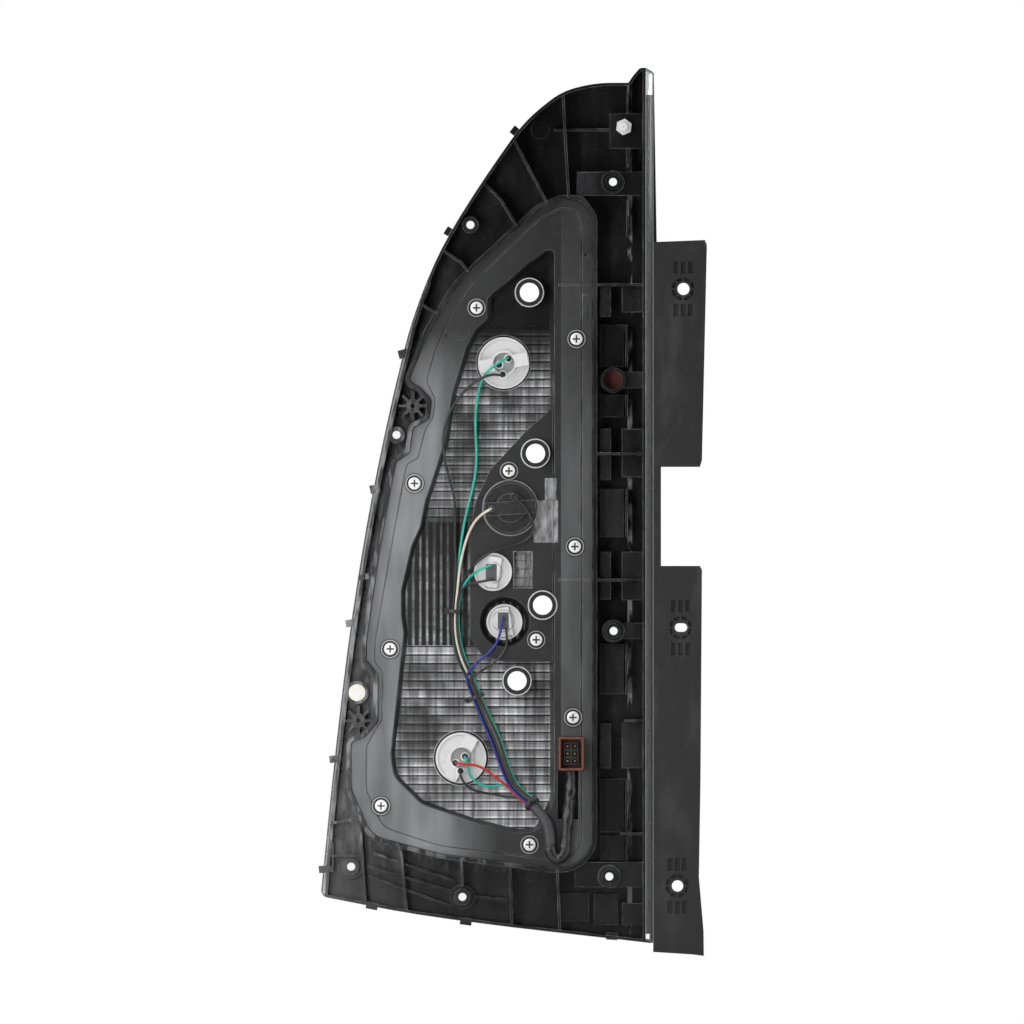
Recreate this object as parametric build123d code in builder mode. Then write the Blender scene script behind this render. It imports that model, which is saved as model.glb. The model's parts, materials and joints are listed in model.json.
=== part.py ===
from build123d import *
import os
from math import atan2, cos, degrees, hypot, pi, radians, sin, tan

os.makedirs("parts", exist_ok=True)

# Frame of the part, in millimetres: +X is right and +Z is up when the lamp is seen from the car's side,
# and +Y runs from the car towards the lens. The origin is the upper hole of the side flange, on its rear face.

# Wall thicknesses
frame_wall = 2.0
floor_thickness = 2.4
ledge_thickness = 2.4
shell_wall = 2.0
lens_wall = 2.4
lens_edge_radius = 3.0
inner_lens_wall = 2.2
flange_thickness = 3.0
rib_thickness = 1.6

# Depths along +Y, measured from the frame's rear rim
frame_depth = 26.0
ridge_set_back = 5.0
harness_diameter = 8.0
margin_thickness = 2.5
seal_thickness = 2.0
recess_depth = 13.0
plateau_set_back = 13.0
lens_height = 55.6
inner_lens_gap = 11.0

# Share of the shorter run that an arc may take up at each corner
arc_share = 0.45

# Clearances
seam_gap = 0.5
fit_gap = 0.1
running_gap = 0.3

# Depth stations worked out from the sizes above
margin_y = harness_diameter + 0.2
margin_front_y = margin_y + margin_thickness
ledge_y = margin_front_y + seal_thickness
window_y = margin_y + recess_depth
window_front_y = window_y + shell_wall
plateau_y = plateau_set_back
floor_y = frame_depth
frame_front_y = floor_y + floor_thickness
lens_front_y = frame_front_y + lens_height
lens_inner_y = lens_front_y - lens_wall
inner_lens_y = lens_front_y - lens_wall - inner_lens_gap - inner_lens_wall

# Outline of the lamp seen from the car, as corners with a radius each, or 0 for the largest arc that fits
right_edge_x = -26.0
lens_edge_x = -21.0
top_z = 152.6
left_curve = [
    (-60.0, 142.3, 0),
    (-84.0, 136.6, 0),
    (-110.0, 115.6, 0),
    (-139.5, 73.6, 0),
    (-167.5, 28.8, 0),
    (-187.5, -20.5, 0),
    (-202.5, -82.0, 0),
    (-217.5, -155.0, 0),
    (-230.3, -235.3, 0),
    (-240.8, -323.6, 0),
]
foot_corner = (-250.4, -419.0, 5.0)
outline_corners = [
    (lens_edge_x, 149.7, 1.0),
    (right_edge_x, top_z, 1.0),
    (-30.0, top_z, 3.0),
    (-34.6, 147.4, 0),
    (-38.0, 142.3, 1.0),
] + left_curve + [
    foot_corner,
    (-190.8, -430.8, 0),
    (-126.6, -439.6, 0),
    (lens_edge_x, -451.5, 1.0),
]
skirt_width = 2.0
skirt_rear_y = 8.0
skirt_top = (-176.6, 4.0)

# Outline of the housing where it meets the frame, with one corner radius for each point
housing_corners = [
    (-63.1, 50.0, 12.0),
    (-63.1, -399.0, 22.0),
    (-92.0, -399.0, 20.0),
    (-168.0, -389.5, 60.0),
    (-215.0, -377.0, 16.0),
    (-229.1, -345.0, 22.0),
    (-229.1, -313.0, 3.5),
    (-220.0, -309.5, 3.5),
    (-210.5, -299.0, 5.0),
    (-210.5, -266.0, 4.0),
    (-218.5, -256.0, 4.0),
    (-218.4, -242.0, 12.0),
    (-209.4, -180.1, 60.0),
    (-201.0, -133.0, 6.0),
    (-198.0, -119.5, 3.5),
    (-188.7, -113.0, 3.5),
    (-186.5, -96.0, 4.0),
    (-175.0, -90.0, 5.0),
    (-173.5, -76.0, 5.0),
    (-182.0, -67.5, 4.0),
    (-189.5, -63.5, 3.5),
    (-174.9, -28.3, 60.0),
    (-155.6, 2.8, 40.0),
    (-99.0, 55.5, 20.0),
    (-84.0, 61.5, 8.0),
    (-71.0, 60.7, 6.0),
]
groove_corners = [
    (-70.4, 44.0, 8.0),
    (-70.4, -393.5, 16.0),
    (-92.0, -393.5, 18.0),
    (-168.0, -384.3, 60.0),
    (-207.0, -371.5, 14.0),
    (-218.8, -346.0, 16.0),
    (-218.8, -316.0, 4.0),
    (-214.0, -306.5, 4.0),
    (-208.0, -297.0, 4.0),
    (-207.5, -264.0, 3.0),
    (-213.0, -257.5, 3.0),
    (-212.6, -242.0, 10.0),
    (-201.8, -180.0, 60.0),
    (-193.5, -134.0, 5.0),
    (-190.8, -121.0, 2.5),
    (-183.0, -116.5, 2.5),
    (-178.4, -98.0, 4.0),
    (-172.8, -88.0, 3.0),
    (-171.2, -76.0, 3.0),
    (-177.2, -64.0, 3.0),
    (-171.5, -43.0, 20.0),
    (-161.8, -20.0, 40.0),
    (-146.0, 4.0, 40.0),
    (-98.0, 49.5, 20.0),
    (-84.0, 56.0, 6.0),
    (-75.0, 54.5, 5.0),
]
groove_width = 0.9
groove_depth = 1.2

# Edge of the deep recess in the housing
recess_corners = [
    (-89.0, 27.0, 3.0),
    (-89.0, -352.0, 16.0),
    (-100.0, -374.0, 8.0),
    (-114.0, -376.0, 12.0),
    (-142.5, -369.0, 60.0),
    (-181.0, -356.0, 20.0),
    (-200.0, -337.0, 12.0),
    (-202.5, -322.0, 10.0),
    (-193.3, -237.0, 10.0),
    (-195.0, -226.0, 10.0),
    (-195.0, -208.0, 14.0),
    (-188.0, -177.0, 8.0),
    (-182.0, -164.0, 8.0),
    (-178.4, -146.0, 20.0),
    (-165.0, -106.0, 60.0),
    (-160.0, -73.0, 60.0),
    (-150.0, -40.0, 15.0),
    (-143.0, -27.0, 4.0),
    (-135.4, -21.0, 4.0),
    (-135.4, -6.0, 5.0),
    (-106.0, 18.5, 20.0),
    (-94.0, 27.0, 6.0),
]
recess_taper = 14.0

# Raised plateau that carries the turn, marker and reverse bulbs
plateau_corners = [
    (-88.0, -80.0, 1.0),
    (-93.5, -84.9, 4.0),
    (-109.4, -98.7, 6.0),
    (-133.5, -124.9, 20.0),
    (-144.0, -148.0, 20.0),
    (-147.3, -173.2, 12.0),
    (-147.3, -240.0, 8.0),
    (-139.0, -253.0, 6.0),
    (-123.0, -257.4, 12.0),
    (-88.0, -257.4, 1.0),
]

# Facet fields on the backs of the reflectors
upper_facets = [
    (-94.5, -20.0),
    (-94.5, -85.5),
    (-110.0, -100.0),
    (-134.5, -127.0),
    (-143.0, -145.6),
    (-172.0, -145.6),
    (-160.5, -108.0),
    (-155.0, -75.0),
    (-142.0, -36.0),
    (-128.0, -20.0),
]
middle_facets = [
    (-150.5, -150.0),
    (-174.0, -150.0),
    (-180.0, -166.0),
    (-189.5, -206.0),
    (-188.5, -238.0),
    (-150.5, -238.0),
]
lower_facets = [
    (-95.5, -262.0),
    (-138.0, -262.0),
    (-150.5, -246.0),
    (-188.0, -246.0),
    (-196.5, -322.0),
    (-191.0, -336.0),
    (-178.0, -348.0),
    (-95.5, -348.0),
]
facet_pitch = 6.1
facet_line = 0.9
facet_depth = 0.8
fluting_pitch = 3.5

# Four tunnels that run right through the lamp for its long fixing screws
tunnel_places = [(-106.3, -2.4), (-102.1, -113.5), (-97.2, -218.2), (-114.8, -270.4)]
tunnel_bore_r = 6.65
tunnel_wall = 3.35
tunnel_rear_y = 7.5
tunnel_r = tunnel_bore_r + tunnel_wall

# Screws that hold the housing: eight into the frame, two into the inner reflector
margin_screws = [
    (-142.8, -13.0),
    (-73.8, -34.5),
    (-185.6, -134.2),
    (-74.9, -177.8),
    (-202.4, -248.4),
    (-76.2, -295.7),
    (-208.7, -356.7),
    (-106.2, -383.5),
]
plateau_screws = [(-120.4, -125.6), (-101.6, -242.1)]
screw_head_r = 4.3
screw_head_height = 2.6
screw_shank_r = 1.95
screw_length = 11.0
screw_pilot_r = screw_shank_r + 0.05
screw_hole_r = screw_shank_r + 0.35
screw_seat_r = 6.5
screw_seat_wall = 1.3
screw_seat_height = 1.0
screw_boss_r = 4.5
screw_boss_length = screw_length + 1.5
cross_length = 5.2
cross_width = 1.1
cross_depth = 1.3

# Edges of the sheet on which outlines are cut away
sheet_left = -300.0
sheet_right = 60.0
sheet_low = -500.0
sheet_high = 200.0

# Ridge of the frame round the housing, and the edge of the ledge under the housing
ridge_width = 3.0
ledge_gap = 1.6
seal_inset = 0.8
seal_width = 2.5

# Hollow steps of the frame, as (left, right, low, high), under the depth of their rear face
frame_steps = {
    18.0: [
        (-57.6, -41.0, -53.8, -24.8),
        (-57.6, -41.0, -88.3, -73.1),
        (-57.6, -41.0, -171.1, -138.0),
        (-57.6, -41.0, -279.4, -244.9),
        (-57.6, -41.0, -374.7, -338.1),
        (-57.6, -41.0, -394.0, -377.4),
    ],
    12.0: [
        (-57.6, -50.1, -19.0, 1.4),
        (-57.6, -50.1, -113.0, -96.6),
        (-57.6, -50.1, -131.8, -115.2),
        (-57.6, -50.1, -199.0, -181.5),
        (-57.6, -50.1, -214.0, -202.2),
        (-57.6, -50.1, -330.5, -300.0),
    ],
    9.0: [
        (-42.4, -26.0, -15.9, 1.4),
        (-42.4, -26.0, -112.5, -96.6),
        (-42.4, -26.0, -129.7, -115.2),
        (-42.4, -26.0, -199.4, -181.5),
        (-42.4, -26.0, -214.6, -202.2),
        (-42.4, -26.0, -330.5, -299.6),
        (-42.4, -26.0, -438.8, -423.7),
    ],
    11.0: [(-50.7, -26.0, 97.0, 121.0)],
    8.0: [(-73.5, -26.0, 64.5, 80.7), (-74.9, -26.0, -412.6, -395.4)],
    7.0: [(-42.0, -26.0, -68.3, -57.3), (-42.0, -26.0, -241.5, -230.5)],
    15.0: [(-85.2, -65.2, -436.1, -416.8), (-61.8, -45.2, -438.8, -417.5)],
}

# Ribs of the frame, as runs of points, under the depth of their rear edge
frame_ribs = {
    3.0: [
        [(-83.1, 134.0), (-81.8, 109.7), (-79.0, 60.0)],
        [(-117.6, 104.0), (-92.8, 57.0)],
        [(-139.0, 74.5), (-125.9, 61.4), (-114.0, 42.0)],
        [(-168.0, 28.0), (-153.5, 18.6), (-142.0, 4.0)],
        [(-188.0, -7.0), (-165.9, -18.6)],
        [(-223.9, -358.0), (-219.1, -426.0)],
        [(-246.0, -369.0), (-223.9, -365.7)],
        [(-250.0, -391.2), (-221.1, -391.2)],
        [(-242.2, -381.6), (-241.8, -398.8)],
        [(-195.6, -379.5), (-190.8, -431.0)],
        [(-153.5, -388.5), (-152.5, -412.0)],
        [(-119.7, -392.0), (-118.3, -442.0)],
        [(-87.3, -395.0), (-85.2, -444.0)],
    ],
    5.0: [
        [(-62.0, 2.8), (-26.0, 2.8)],
        [(-62.0, -113.8), (-26.0, -113.8)],
        [(-62.0, -200.8), (-26.0, -200.8)],
        [(-41.0, -298.1), (-26.0, -298.1)],
        [(-43.8, -376.0), (-26.0, -376.0)],
    ],
    11.0: [[(-89.0, 109.7), (-26.0, 109.7)]],
    13.0: [
        [(-39.2, -24.8), (-39.2, -53.8)],
        [(-39.2, -73.1), (-39.2, -88.3)],
        [(-39.2, -138.0), (-39.2, -171.1)],
        [(-39.2, -244.9), (-39.2, -279.4)],
        [(-39.2, -338.1), (-39.2, -374.7)],
        [(-39.2, -377.4), (-39.2, -394.0)],
        [(-38.4, 140.8), (-38.4, 121.0)],
        [(-38.4, 97.0), (-38.4, 82.1)],
        [(-38.4, 61.4), (-38.4, 35.9)],
    ],
    12.0: [
        [(-217.7, -398.1), (-160.4, -415.4)],
        [(-217.0, -405.0), (-159.0, -426.4)],
        [(-145.0, -419.2), (-120.0, -421.8)],
        [(-213.6, -389.2), (-190.8, -397.4), (-157.7, -408.5)],
    ],
}

# Fixing bosses of the frame, and their holes
wide_bosses = [(-48.6, 73.8), (-48.2, -236.0), (-51.2, -405.4)]
narrow_bosses = [(-147.0, 44.2), (-198.0, -100.7), (-229.3, -398.6), (-152.5, -419.5)]
collared_bosses = narrow_bosses[2:]
boss_y = 4.0
fixing_hole_r = 2.75
wide_boss_r = 7.8
wide_groove_inner_r = 5.4
wide_groove_outer_r = 6.5
wide_groove_depth = 4.0
narrow_boss_r = 5.7
collar_r = 8.6
collar_y = 14.0
bush_place = (-225.3, -278.5)
bush_r = 5.8
bush_boss_wall = 2.0
bush_rear_y = 3.4

# Blind boss with the red side reflector in it
reflector_place = (-48.6, -62.8)
reflector_boss_r = 8.6
reflector_r = 6.5
reflector_y = 15.0
reflector_flange = 2.5
reflector_stem_r = 5.3

# Star bosses
star_bosses = [(-186.6, -80.7), (-224.0, -297.9)]
star_y = 6.0
star_hub_r = 4.7
star_r = 10.0
star_rib_count = 8
star_hole_r = 1.6
star_hole_depth = 10.0

# Stud and nut on their pad
stud_place = (-41.1, 111.8)
stud_pad_y = 11.0
stud_r = 3.0
stud_rear_y = 2.6
stud_depth = 10.0
nut_across_flats = 10.0
nut_height = 5.0
nut_turn = 23.0
disc_place = (-99.0, 109.7)
disc_r = 6.2
disc_height = 0.5

# Snap tabs round the edge, as (x, z, width, height, turn)
snap_tabs = [
    (-116.3, 109.0, 6.0, 5.0, 52.0),
    (-162.0, 39.5, 6.0, 5.0, 58.0),
    (-193.4, -44.8, 6.6, 6.0, 14.0),
    (-212.9, -138.0, 6.8, 6.0, 12.0),
    (-220.6, -198.7, 7.0, 4.0, 10.0),
    (-229.3, -230.5, 7.6, 5.0, 9.0),
    (-240.5, -324.3, 7.6, 5.0, 7.0),
    (-246.6, -400.2, 10.0, 5.0, 6.0),
    (-214.9, -425.6, 8.0, 5.0, -11.0),
    (-150.1, -436.4, 8.0, 5.0, -8.0),
    (-49.3, -446.6, 8.0, 5.0, -4.0),
]
tab_y = 3.6
tab_thickness = 4.0

# Side flange
flange_corners = [
    (-18.3, 32.4),
    (14.8, 33.8),
    (16.2, 30.4),
    (12.8, -118.0),
    (11.4, -122.8),
    (-15.5, -122.8),
    (-15.5, -191.1),
    (11.4, -191.1),
    (12.8, -193.9),
    (11.8, -338.8),
    (10.7, -405.7),
    (12.1, -422.3),
    (13.9, -443.0),
    (14.1, -460.2),
    (5.9, -459.2),
    (-18.3, -457.5),
]
flange_wall = 2.5
flange_depth = 32.0
flange_bevel = 1.2
lens_gap = 0.1
wedge_top_z = 149.0
wedge_rear_y = 6.0
upper_hole = (0.0, 0.0)
lower_hole = (-4.1, -411.9)
slot_place = (-1.7, -233.6)
upper_hole_r = 4.15
lower_hole_r = 3.9
slot_length = 8.5
slot_width = 5.9
hub_r = 9.2
hub_height = 5.0
web_outer_r = 8.0
web_inner_r = 5.7
web_depth = 1.8
web_rib = 1.2
web_rib_count = 8
flute_start = 10.5
flute_end = 19.0
flute_width = 3.6
flute_pitch = 5.0
ejector_marks = [(-14.1, -28.3), (-14.1, -66.9), (-14.1, -104.2), (-14.1, -259.4), (-14.1, -343.6)]
ejector_mark_r = 3.2
ejector_mark_depth = 0.4

# Fins of the lens along its right edge, between the frame and the flange
fin_rear_y = 2.0
fin_low_z = -445.0
fin_high_z = 149.0
inner_fin_thickness = 1.7
outer_fin_thickness = 2.0
lens_shelf = 2.4

# Inner lenses
inner_wall_inset = 1.0
inner_lens_side = 2.0
tunnel_clearance = 1.0
inner_window = (-138.0, -72.0, -250.0, -92.0)
inner_window_r = 8.0
inner_window_lap = 3.0

# Chromed reflector behind the plateau
chrome_y = 24.0
chrome_thickness = 2.0
chrome_inset = 3.0
chrome_right_x = -91.0
chrome_wall = 1.6
chrome_front_y = 50.0
chrome_boss_r = 4.5
chrome_boss_floor = 3.0

# Bulb holders: centre and outer radius of each
upper_holder_place = (-124.1, -51.1)
turn_holder_place = (-119.4, -151.1)
marker_holder_place = (-131.4, -195.3)
reverse_holder_place = (-123.5, -229.8)
lower_holder_place = (-153.5, -323.6)
upper_holder_r = 17.8
turn_holder_r = 18.5
marker_holder_r = 13.1
reverse_holder_r = 12.4
lower_holder_r = 17.5
large_neck_r = 13.4
small_neck_r = 8.2
neck_gap = 0.4
neck_length = 13.0
lug_length = 2.3
lug_thickness = 2.4
lug_width = 6.0
lug_count = 3
holder_flange = 3.0
holder_seal = 2.0
seal_ring_width = 2.6
holder_bore_gap = 0.3
bulb_base_r = 7.5
bulb_base_length = 16.0
bulb_glass_r = 12.5
bulb_glass_length = 26.0
marker_bulb_r = 5.0
reverse_bulb_r = 6.2
wedge_bulb_length = 26.0
grip_height = 5.5
grip_width = 9.0
wire_tube_r = 2.2
wire_r = 0.9

# Cup round the reverse holder, and the small faceted window beside the marker holder
cup_r = 17.4
cup_taper = 21.0
side_window = (-117.0, -104.5, -206.3, -181.5)
side_window_y = 18.8

# Small marks on the housing's margin
margin_disc = (-154.2, -28.3)
margin_disc_r = 6.9
margin_mark_height = 0.4
margin_vents = [(-67.3, 23.5), (-163.2, -32.4)]
margin_vent_r = 1.5
margin_vent_depth = 1.4
margin_ribs = [(2.8, -86.0), (-200.8, -86.0)]
margin_rib_width = 1.4
margin_rib_height = 0.7
tongue = (-69.6, -66.4, -21.4, -4.0)

# Connector, its pocket and the pocket for the lead
connector_left_x = -86.2
connector_right_x = -68.8
connector_low_z = -332.2
connector_high_z = -309.1
connector_rear_y = -1.0
connector_front_y = 17.0
connector_wall = 1.5
connector_floor = 6.0
core_wall_gap = 2.2
core_rear_y = 5.5
core_back = 1.2
cavity_size = 3.2
cavity_pitch_x = 5.0
cavity_pitch_z = 5.1
terminal_size = 1.2
terminal_rear_y = 6.6
pocket_wall = 1.8
pocket_floor = 2.0
lead_pocket_left_x = -86.8
lead_pocket_right_x = -72.5
lead_pocket_low_z = -366.0
lead_pocket_y = 21.9

# Sleeve over the harness and the taped lead that doubles back to the connector, as (x, y, z) points
sleeve_r = harness_diameter / 2
lead_r = 4.35
sleeve_route = [
    (-103.2, 7.0, -356.7),
    (-96.7, 4.0, -364.1),
    (-92.0, 3.7, -373.7),
    (-92.0, 3.7, -383.0),
]
lead_route = [
    (-92.0, 3.7, -383.0),
    (-92.0, 3.7, -393.0),
    (-82.0, 3.7, -393.0),
    (-81.0, 3.7, -377.5),
    (-79.4, 3.7, -361.5),
    (-77.5, 11.5, -345.0),
    (-77.5, 11.5, connector_low_z),
]

# Middle line of the harness down to the sleeve, as (x, y, z, spread of the wires)
harness_route = [
    (-155.6, 15.4, -193.0, 1.15),
    (-157.2, 15.4, -211.0, 1.0),
    (-158.4, 15.5, -222.5, 1.0),
    (-158.6, 15.6, -238.5, 1.2),
    (-155.2, 15.6, -254.0, 1.25),
    (-148.4, 15.5, -268.5, 1.1),
    (-143.0, 15.4, -281.5, 1.0),
    (-136.3, 15.4, -297.4, 1.2),
    (-129.4, 15.2, -312.5, 1.25),
    (-124.6, 14.6, -327.5, 1.1),
    (-119.2, 12.9, -341.3, 1.0),
    (-111.8, 10.2, -349.2, 1.0),
]
tie_stops = [2, 6]
tie_width = 2.6
tie_thickness = 1.0
tie_gap = 0.6

# Places of the wires in the round harness, as (radius, angle)
harness_slots = {
    "upper_green_wire": (1.1, 90.0),
    "upper_black_wire": (1.1, 210.0),
    "turn_cream_wire": (1.1, 330.0),
    "turn_black_wire": (3.0, 45.0),
    "marker_green_wire": (3.0, 0.0),
    "marker_black_wire": (3.0, 315.0),
    "reverse_blue_wire": (3.0, 225.0),
    "reverse_black_wire": (3.0, 270.0),
    "lower_red_wire": (3.0, 180.0),
    "lower_green_wire": (3.0, 90.0),
    "lower_black_wire": (3.0, 135.0),
}

# Each wire from its tube on the holder to the harness, and the stop of the harness at which it joins
wire_starts = {
    "upper_green_wire": ([
        (-121.3, 10.7, -47.6),
        (-121.3, 8.0, -47.6),
        (-123.4, 6.2, -48.7),
        (-128.9, 5.8, -51.6),
        (-135.4, 7.0, -56.8),
        (-139.8, 9.8, -64.0),
        (-142.2, 12.6, -74.0),
        (-143.6, 14.4, -87.0),
        (-143.4, 15.0, -100.7),
        (-142.7, 15.0, -113.4),
        (-143.4, 15.0, -127.7),
        (-146.4, 15.0, -142.0),
        (-150.4, 15.2, -157.0),
        (-153.4, 15.4, -174.0),
    ], 0),
    "upper_black_wire": ([
        (-124.4, 10.7, -59.8),
        (-124.4, 7.9, -59.8),
        (-126.6, 5.9, -59.4),
        (-131.6, 4.9, -58.9),
        (-138.6, 4.9, -61.0),
        (-146.6, 6.2, -65.8),
        (-154.0, 6.8, -73.6),
        (-160.6, 6.6, -83.0),
        (-164.6, 6.4, -94.2),
        (-166.0, 6.4, -105.6),
        (-164.8, 7.0, -118.2),
        (-161.6, 9.6, -130.4),
        (-158.0, 13.0, -143.4),
        (-157.4, 14.8, -158.4),
        (-157.9, 15.1, -175.4),
    ], 0),
    "turn_cream_wire": ([
        (-132.6, 2.4, -151.6),
        (-132.6, -0.2, -151.6),
        (-134.4, -1.8, -152.6),
        (-139.4, 0.6, -155.6),
        (-144.2, 4.6, -160.6),
        (-148.2, 9.2, -168.2),
        (-151.6, 12.6, -178.4),
    ], 0),
    "turn_black_wire": ([
        (-117.0, 2.4, -143.4),
        (-117.0, -0.2, -143.4),
        (-115.2, -2.0, -144.6),
        (-110.2, -1.8, -149.8),
        (-105.2, 0.8, -157.6),
        (-102.9, 5.0, -165.4),
        (-106.2, 8.4, -172.0),
        (-114.4, 9.2, -176.4),
        (-124.0, 7.0, -178.6),
        (-133.4, 3.4, -181.6),
        (-141.8, 4.8, -187.6),
        (-148.2, 10.4, -194.6),
        (-152.6, 14.6, -202.4),
    ], 1),
    "marker_green_wire": ([
        (-132.6, 3.4, -190.6),
        (-132.6, 0.8, -190.6),
        (-134.4, -0.9, -191.2),
        (-139.4, -0.3, -193.2),
        (-145.2, 3.6, -196.6),
        (-150.2, 9.0, -201.8),
    ], 1),
    "marker_black_wire": ([
        (-131.4, 3.4, -200.4),
        (-131.4, 0.8, -200.4),
        (-133.3, -0.9, -200.8),
        (-138.8, -0.2, -201.8),
        (-145.2, 3.2, -203.0),
        (-151.2, 7.8, -205.4),
    ], 1),
    "reverse_blue_wire": ([
        (-124.5, 11.4, -226.3),
        (-124.5, 9.0, -226.3),
        (-124.9, 7.2, -228.2),
        (-125.7, 7.0, -233.8),
        (-127.8, 8.2, -242.8),
        (-133.2, 9.6, -250.4),
        (-140.6, 9.6, -256.0),
        (-147.2, 9.8, -261.8),
    ], 5),
    "reverse_black_wire": ([
        (-122.5, 11.4, -234.6),
        (-122.5, 9.0, -234.6),
        (-122.3, 7.3, -236.4),
        (-121.6, 7.1, -241.6),
        (-122.8, 7.9, -249.4),
        (-128.2, 9.2, -256.0),
        (-135.2, 9.6, -261.0),
        (-142.2, 9.0, -264.9),
    ], 5),
    "lower_red_wire": ([
        (-156.7, 10.7, -327.0),
        (-156.7, 8.0, -327.0),
        (-155.2, 5.9, -327.3),
        (-150.4, 4.8, -328.0),
        (-143.6, 5.4, -328.4),
        (-136.8, 7.2, -331.2),
        (-130.4, 9.8, -336.4),
    ], 10),
    "lower_green_wire": ([
        (-150.8, 10.7, -323.0),
        (-150.8, 8.6, -323.0),
        (-150.2, 7.4, -324.8),
        (-148.9, 7.8, -329.8),
        (-147.2, 9.8, -336.2),
        (-142.0, 12.2, -341.4),
        (-134.4, 14.2, -343.8),
    ], 10),
    "lower_black_wire": ([
        (-154.6, 10.7, -333.0),
        (-154.6, 8.4, -333.0),
        (-154.0, 6.9, -334.8),
        (-152.2, 7.6, -339.8),
        (-147.4, 11.0, -344.8),
        (-139.2, 15.0, -347.6),
        (-129.8, 16.0, -348.6),
        (-121.4, 14.6, -350.8),
    ], 11),
}
mouth_run = 5.0

# Tubes on the holders that let the wires out: places taken from the wires' first points
wire_tube_height = 5.5


def at_depth(depth):
    """Plane parallel to the rear rim, seen from the car, at a depth towards the lens."""
    return Plane.XZ.offset(-depth)


def largest_radius(before, corner, after):
    """Radius of the largest arc that two runs leave room for at their corner."""
    run_in = Vector(corner[0] - before[0], corner[1] - before[1])
    run_out = Vector(after[0] - corner[0], after[1] - corner[1])
    turn = radians(run_in.get_angle(run_out))
    return arc_share * min(run_in.length, run_out.length) / tan(turn / 2)


def rounded_outline(corners):
    """Closed outline through a list of (x, z, radius) corners."""
    count = len(corners)
    points = [(x, z) for x, z, radius in corners]
    arcs = []
    for n, corner in enumerate(corners):
        arc = corner[2]
        if arc == 0:
            arc = largest_radius(corners[n - 1], corner, corners[(n + 1) % count])
        arcs.append(arc)
    with BuildSketch(mode=Mode.PRIVATE) as outline:
        with BuildLine():
            FilletPolyline(*points, radius=arcs, close=True)
        make_face()
    return outline.sketch


def plain_outline(points):
    """Closed outline with sharp corners."""
    with BuildSketch(mode=Mode.PRIVATE) as outline:
        with BuildLine():
            Polyline(*points, close=True)
        make_face()
    return outline.sketch


def wall_strip(start, end, thickness, mode=Mode.ADD):
    """Thin straight strip between two points, drawn in the open sketch."""
    run = hypot(end[0] - start[0], end[1] - start[1])
    turn = degrees(atan2(end[1] - start[1], end[0] - start[0]))
    with Locations(((start[0] + end[0]) / 2, (start[1] + end[1]) / 2)):
        Rectangle(run, thickness, rotation=turn, mode=mode)


def box_strip(left, right, low, high, mode=Mode.ADD):
    """Rectangle given by its four sides, drawn in the open sketch."""
    with Locations(((left + right) / 2, (low + high) / 2)):
        Rectangle(right - left, high - low, mode=mode)


def posts(places, radius, rear_y, front_y, mode=Mode.ADD):
    """Round posts or bores of the open part, from one depth to another."""
    with Locations(*[(x, rear_y, z) for x, z in places]):
        Cylinder(radius, front_y - rear_y, rotation=(-90, 0, 0),
                 align=(Align.CENTER, Align.CENTER, Align.MIN), mode=mode)


def post(place, radius, rear_y, front_y, mode=Mode.ADD):
    """One round post or bore of the open part."""
    posts([place], radius, rear_y, front_y, mode)


def block(left, right, low, high, rear_y, front_y, mode=Mode.ADD):
    """Block or pocket of the open part, given by its six sides."""
    with Locations(((left + right) / 2, (rear_y + front_y) / 2, (low + high) / 2)):
        Box(right - left, front_y - rear_y, high - low, mode=mode)


def bar(place, length, width, turn, rear_y, front_y, mode=Mode.ADD):
    """Block of the open part, centred on a place and turned about the viewing direction."""
    with Locations((place[0], (rear_y + front_y) / 2, place[1])):
        Box(length, front_y - rear_y, width, rotation=(0, -turn, 0), mode=mode)


def polar(place, radius, turn):
    """Point at a radius and an angle from a place."""
    return (place[0] + radius * cos(radians(turn)), place[1] + radius * sin(radians(turn)))


def finish(piece, name):
    """Name a finished piece and write it out."""
    piece.part.label = name
    export_step(piece.part, "parts/" + name + ".step")


# Outlines shared by several pieces
lens_outline = rounded_outline(outline_corners)
housing_outline = rounded_outline(housing_corners)
groove_outline = rounded_outline(groove_corners)
recess_outline = rounded_outline(recess_corners)
plateau_outline = rounded_outline(plateau_corners)

# Strip beside the frame's left edge that is left to the skirt of the lens
skirt_corners = [(skirt_top[0], skirt_top[1], 0.5)]
skirt_corners += [(x + skirt_width, z, 0) for x, z, radius in left_curve[5:]]
skirt_corners += [(foot_corner[0] + skirt_width, foot_corner[1], 0)]
skirt_corners += [(foot_corner[0] + skirt_width, sheet_low, 0.5), (sheet_left, sheet_low, 0.5)]
skirt_corners += [(sheet_left, skirt_top[1], 0.5)]
skirt_strip = rounded_outline(skirt_corners)

# Face of the frame, where its ribs and steps may stand, and where they may be hollow
with BuildSketch() as frame_face:
    add(lens_outline)
    box_strip(right_edge_x, sheet_right, sheet_low, sheet_high, Mode.SUBTRACT)
    offset(skirt_strip, amount=fit_gap, mode=Mode.SUBTRACT)

with BuildSketch() as rib_field:
    offset(frame_face.sketch, amount=-frame_wall / 2)
    offset(housing_outline, amount=seam_gap + ridge_width / 2, mode=Mode.SUBTRACT)

with BuildSketch() as hollow_field:
    offset(frame_face.sketch, amount=-frame_wall)
    offset(housing_outline, amount=seam_gap + ridge_width, mode=Mode.SUBTRACT)

# Pocket round the connector and the lead, as the frame's ledge must clear it
pocket_left_x = connector_left_x - running_gap
pocket_right_x = connector_right_x + running_gap
pocket_low_z = connector_low_z - running_gap
pocket_high_z = connector_high_z + running_gap
pocket_block_left_x = lead_pocket_left_x - pocket_wall
pocket_block_right_x = pocket_right_x + pocket_wall
pocket_block_low_z = lead_pocket_low_z - pocket_wall
pocket_block_high_z = pocket_high_z + pocket_wall

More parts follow.
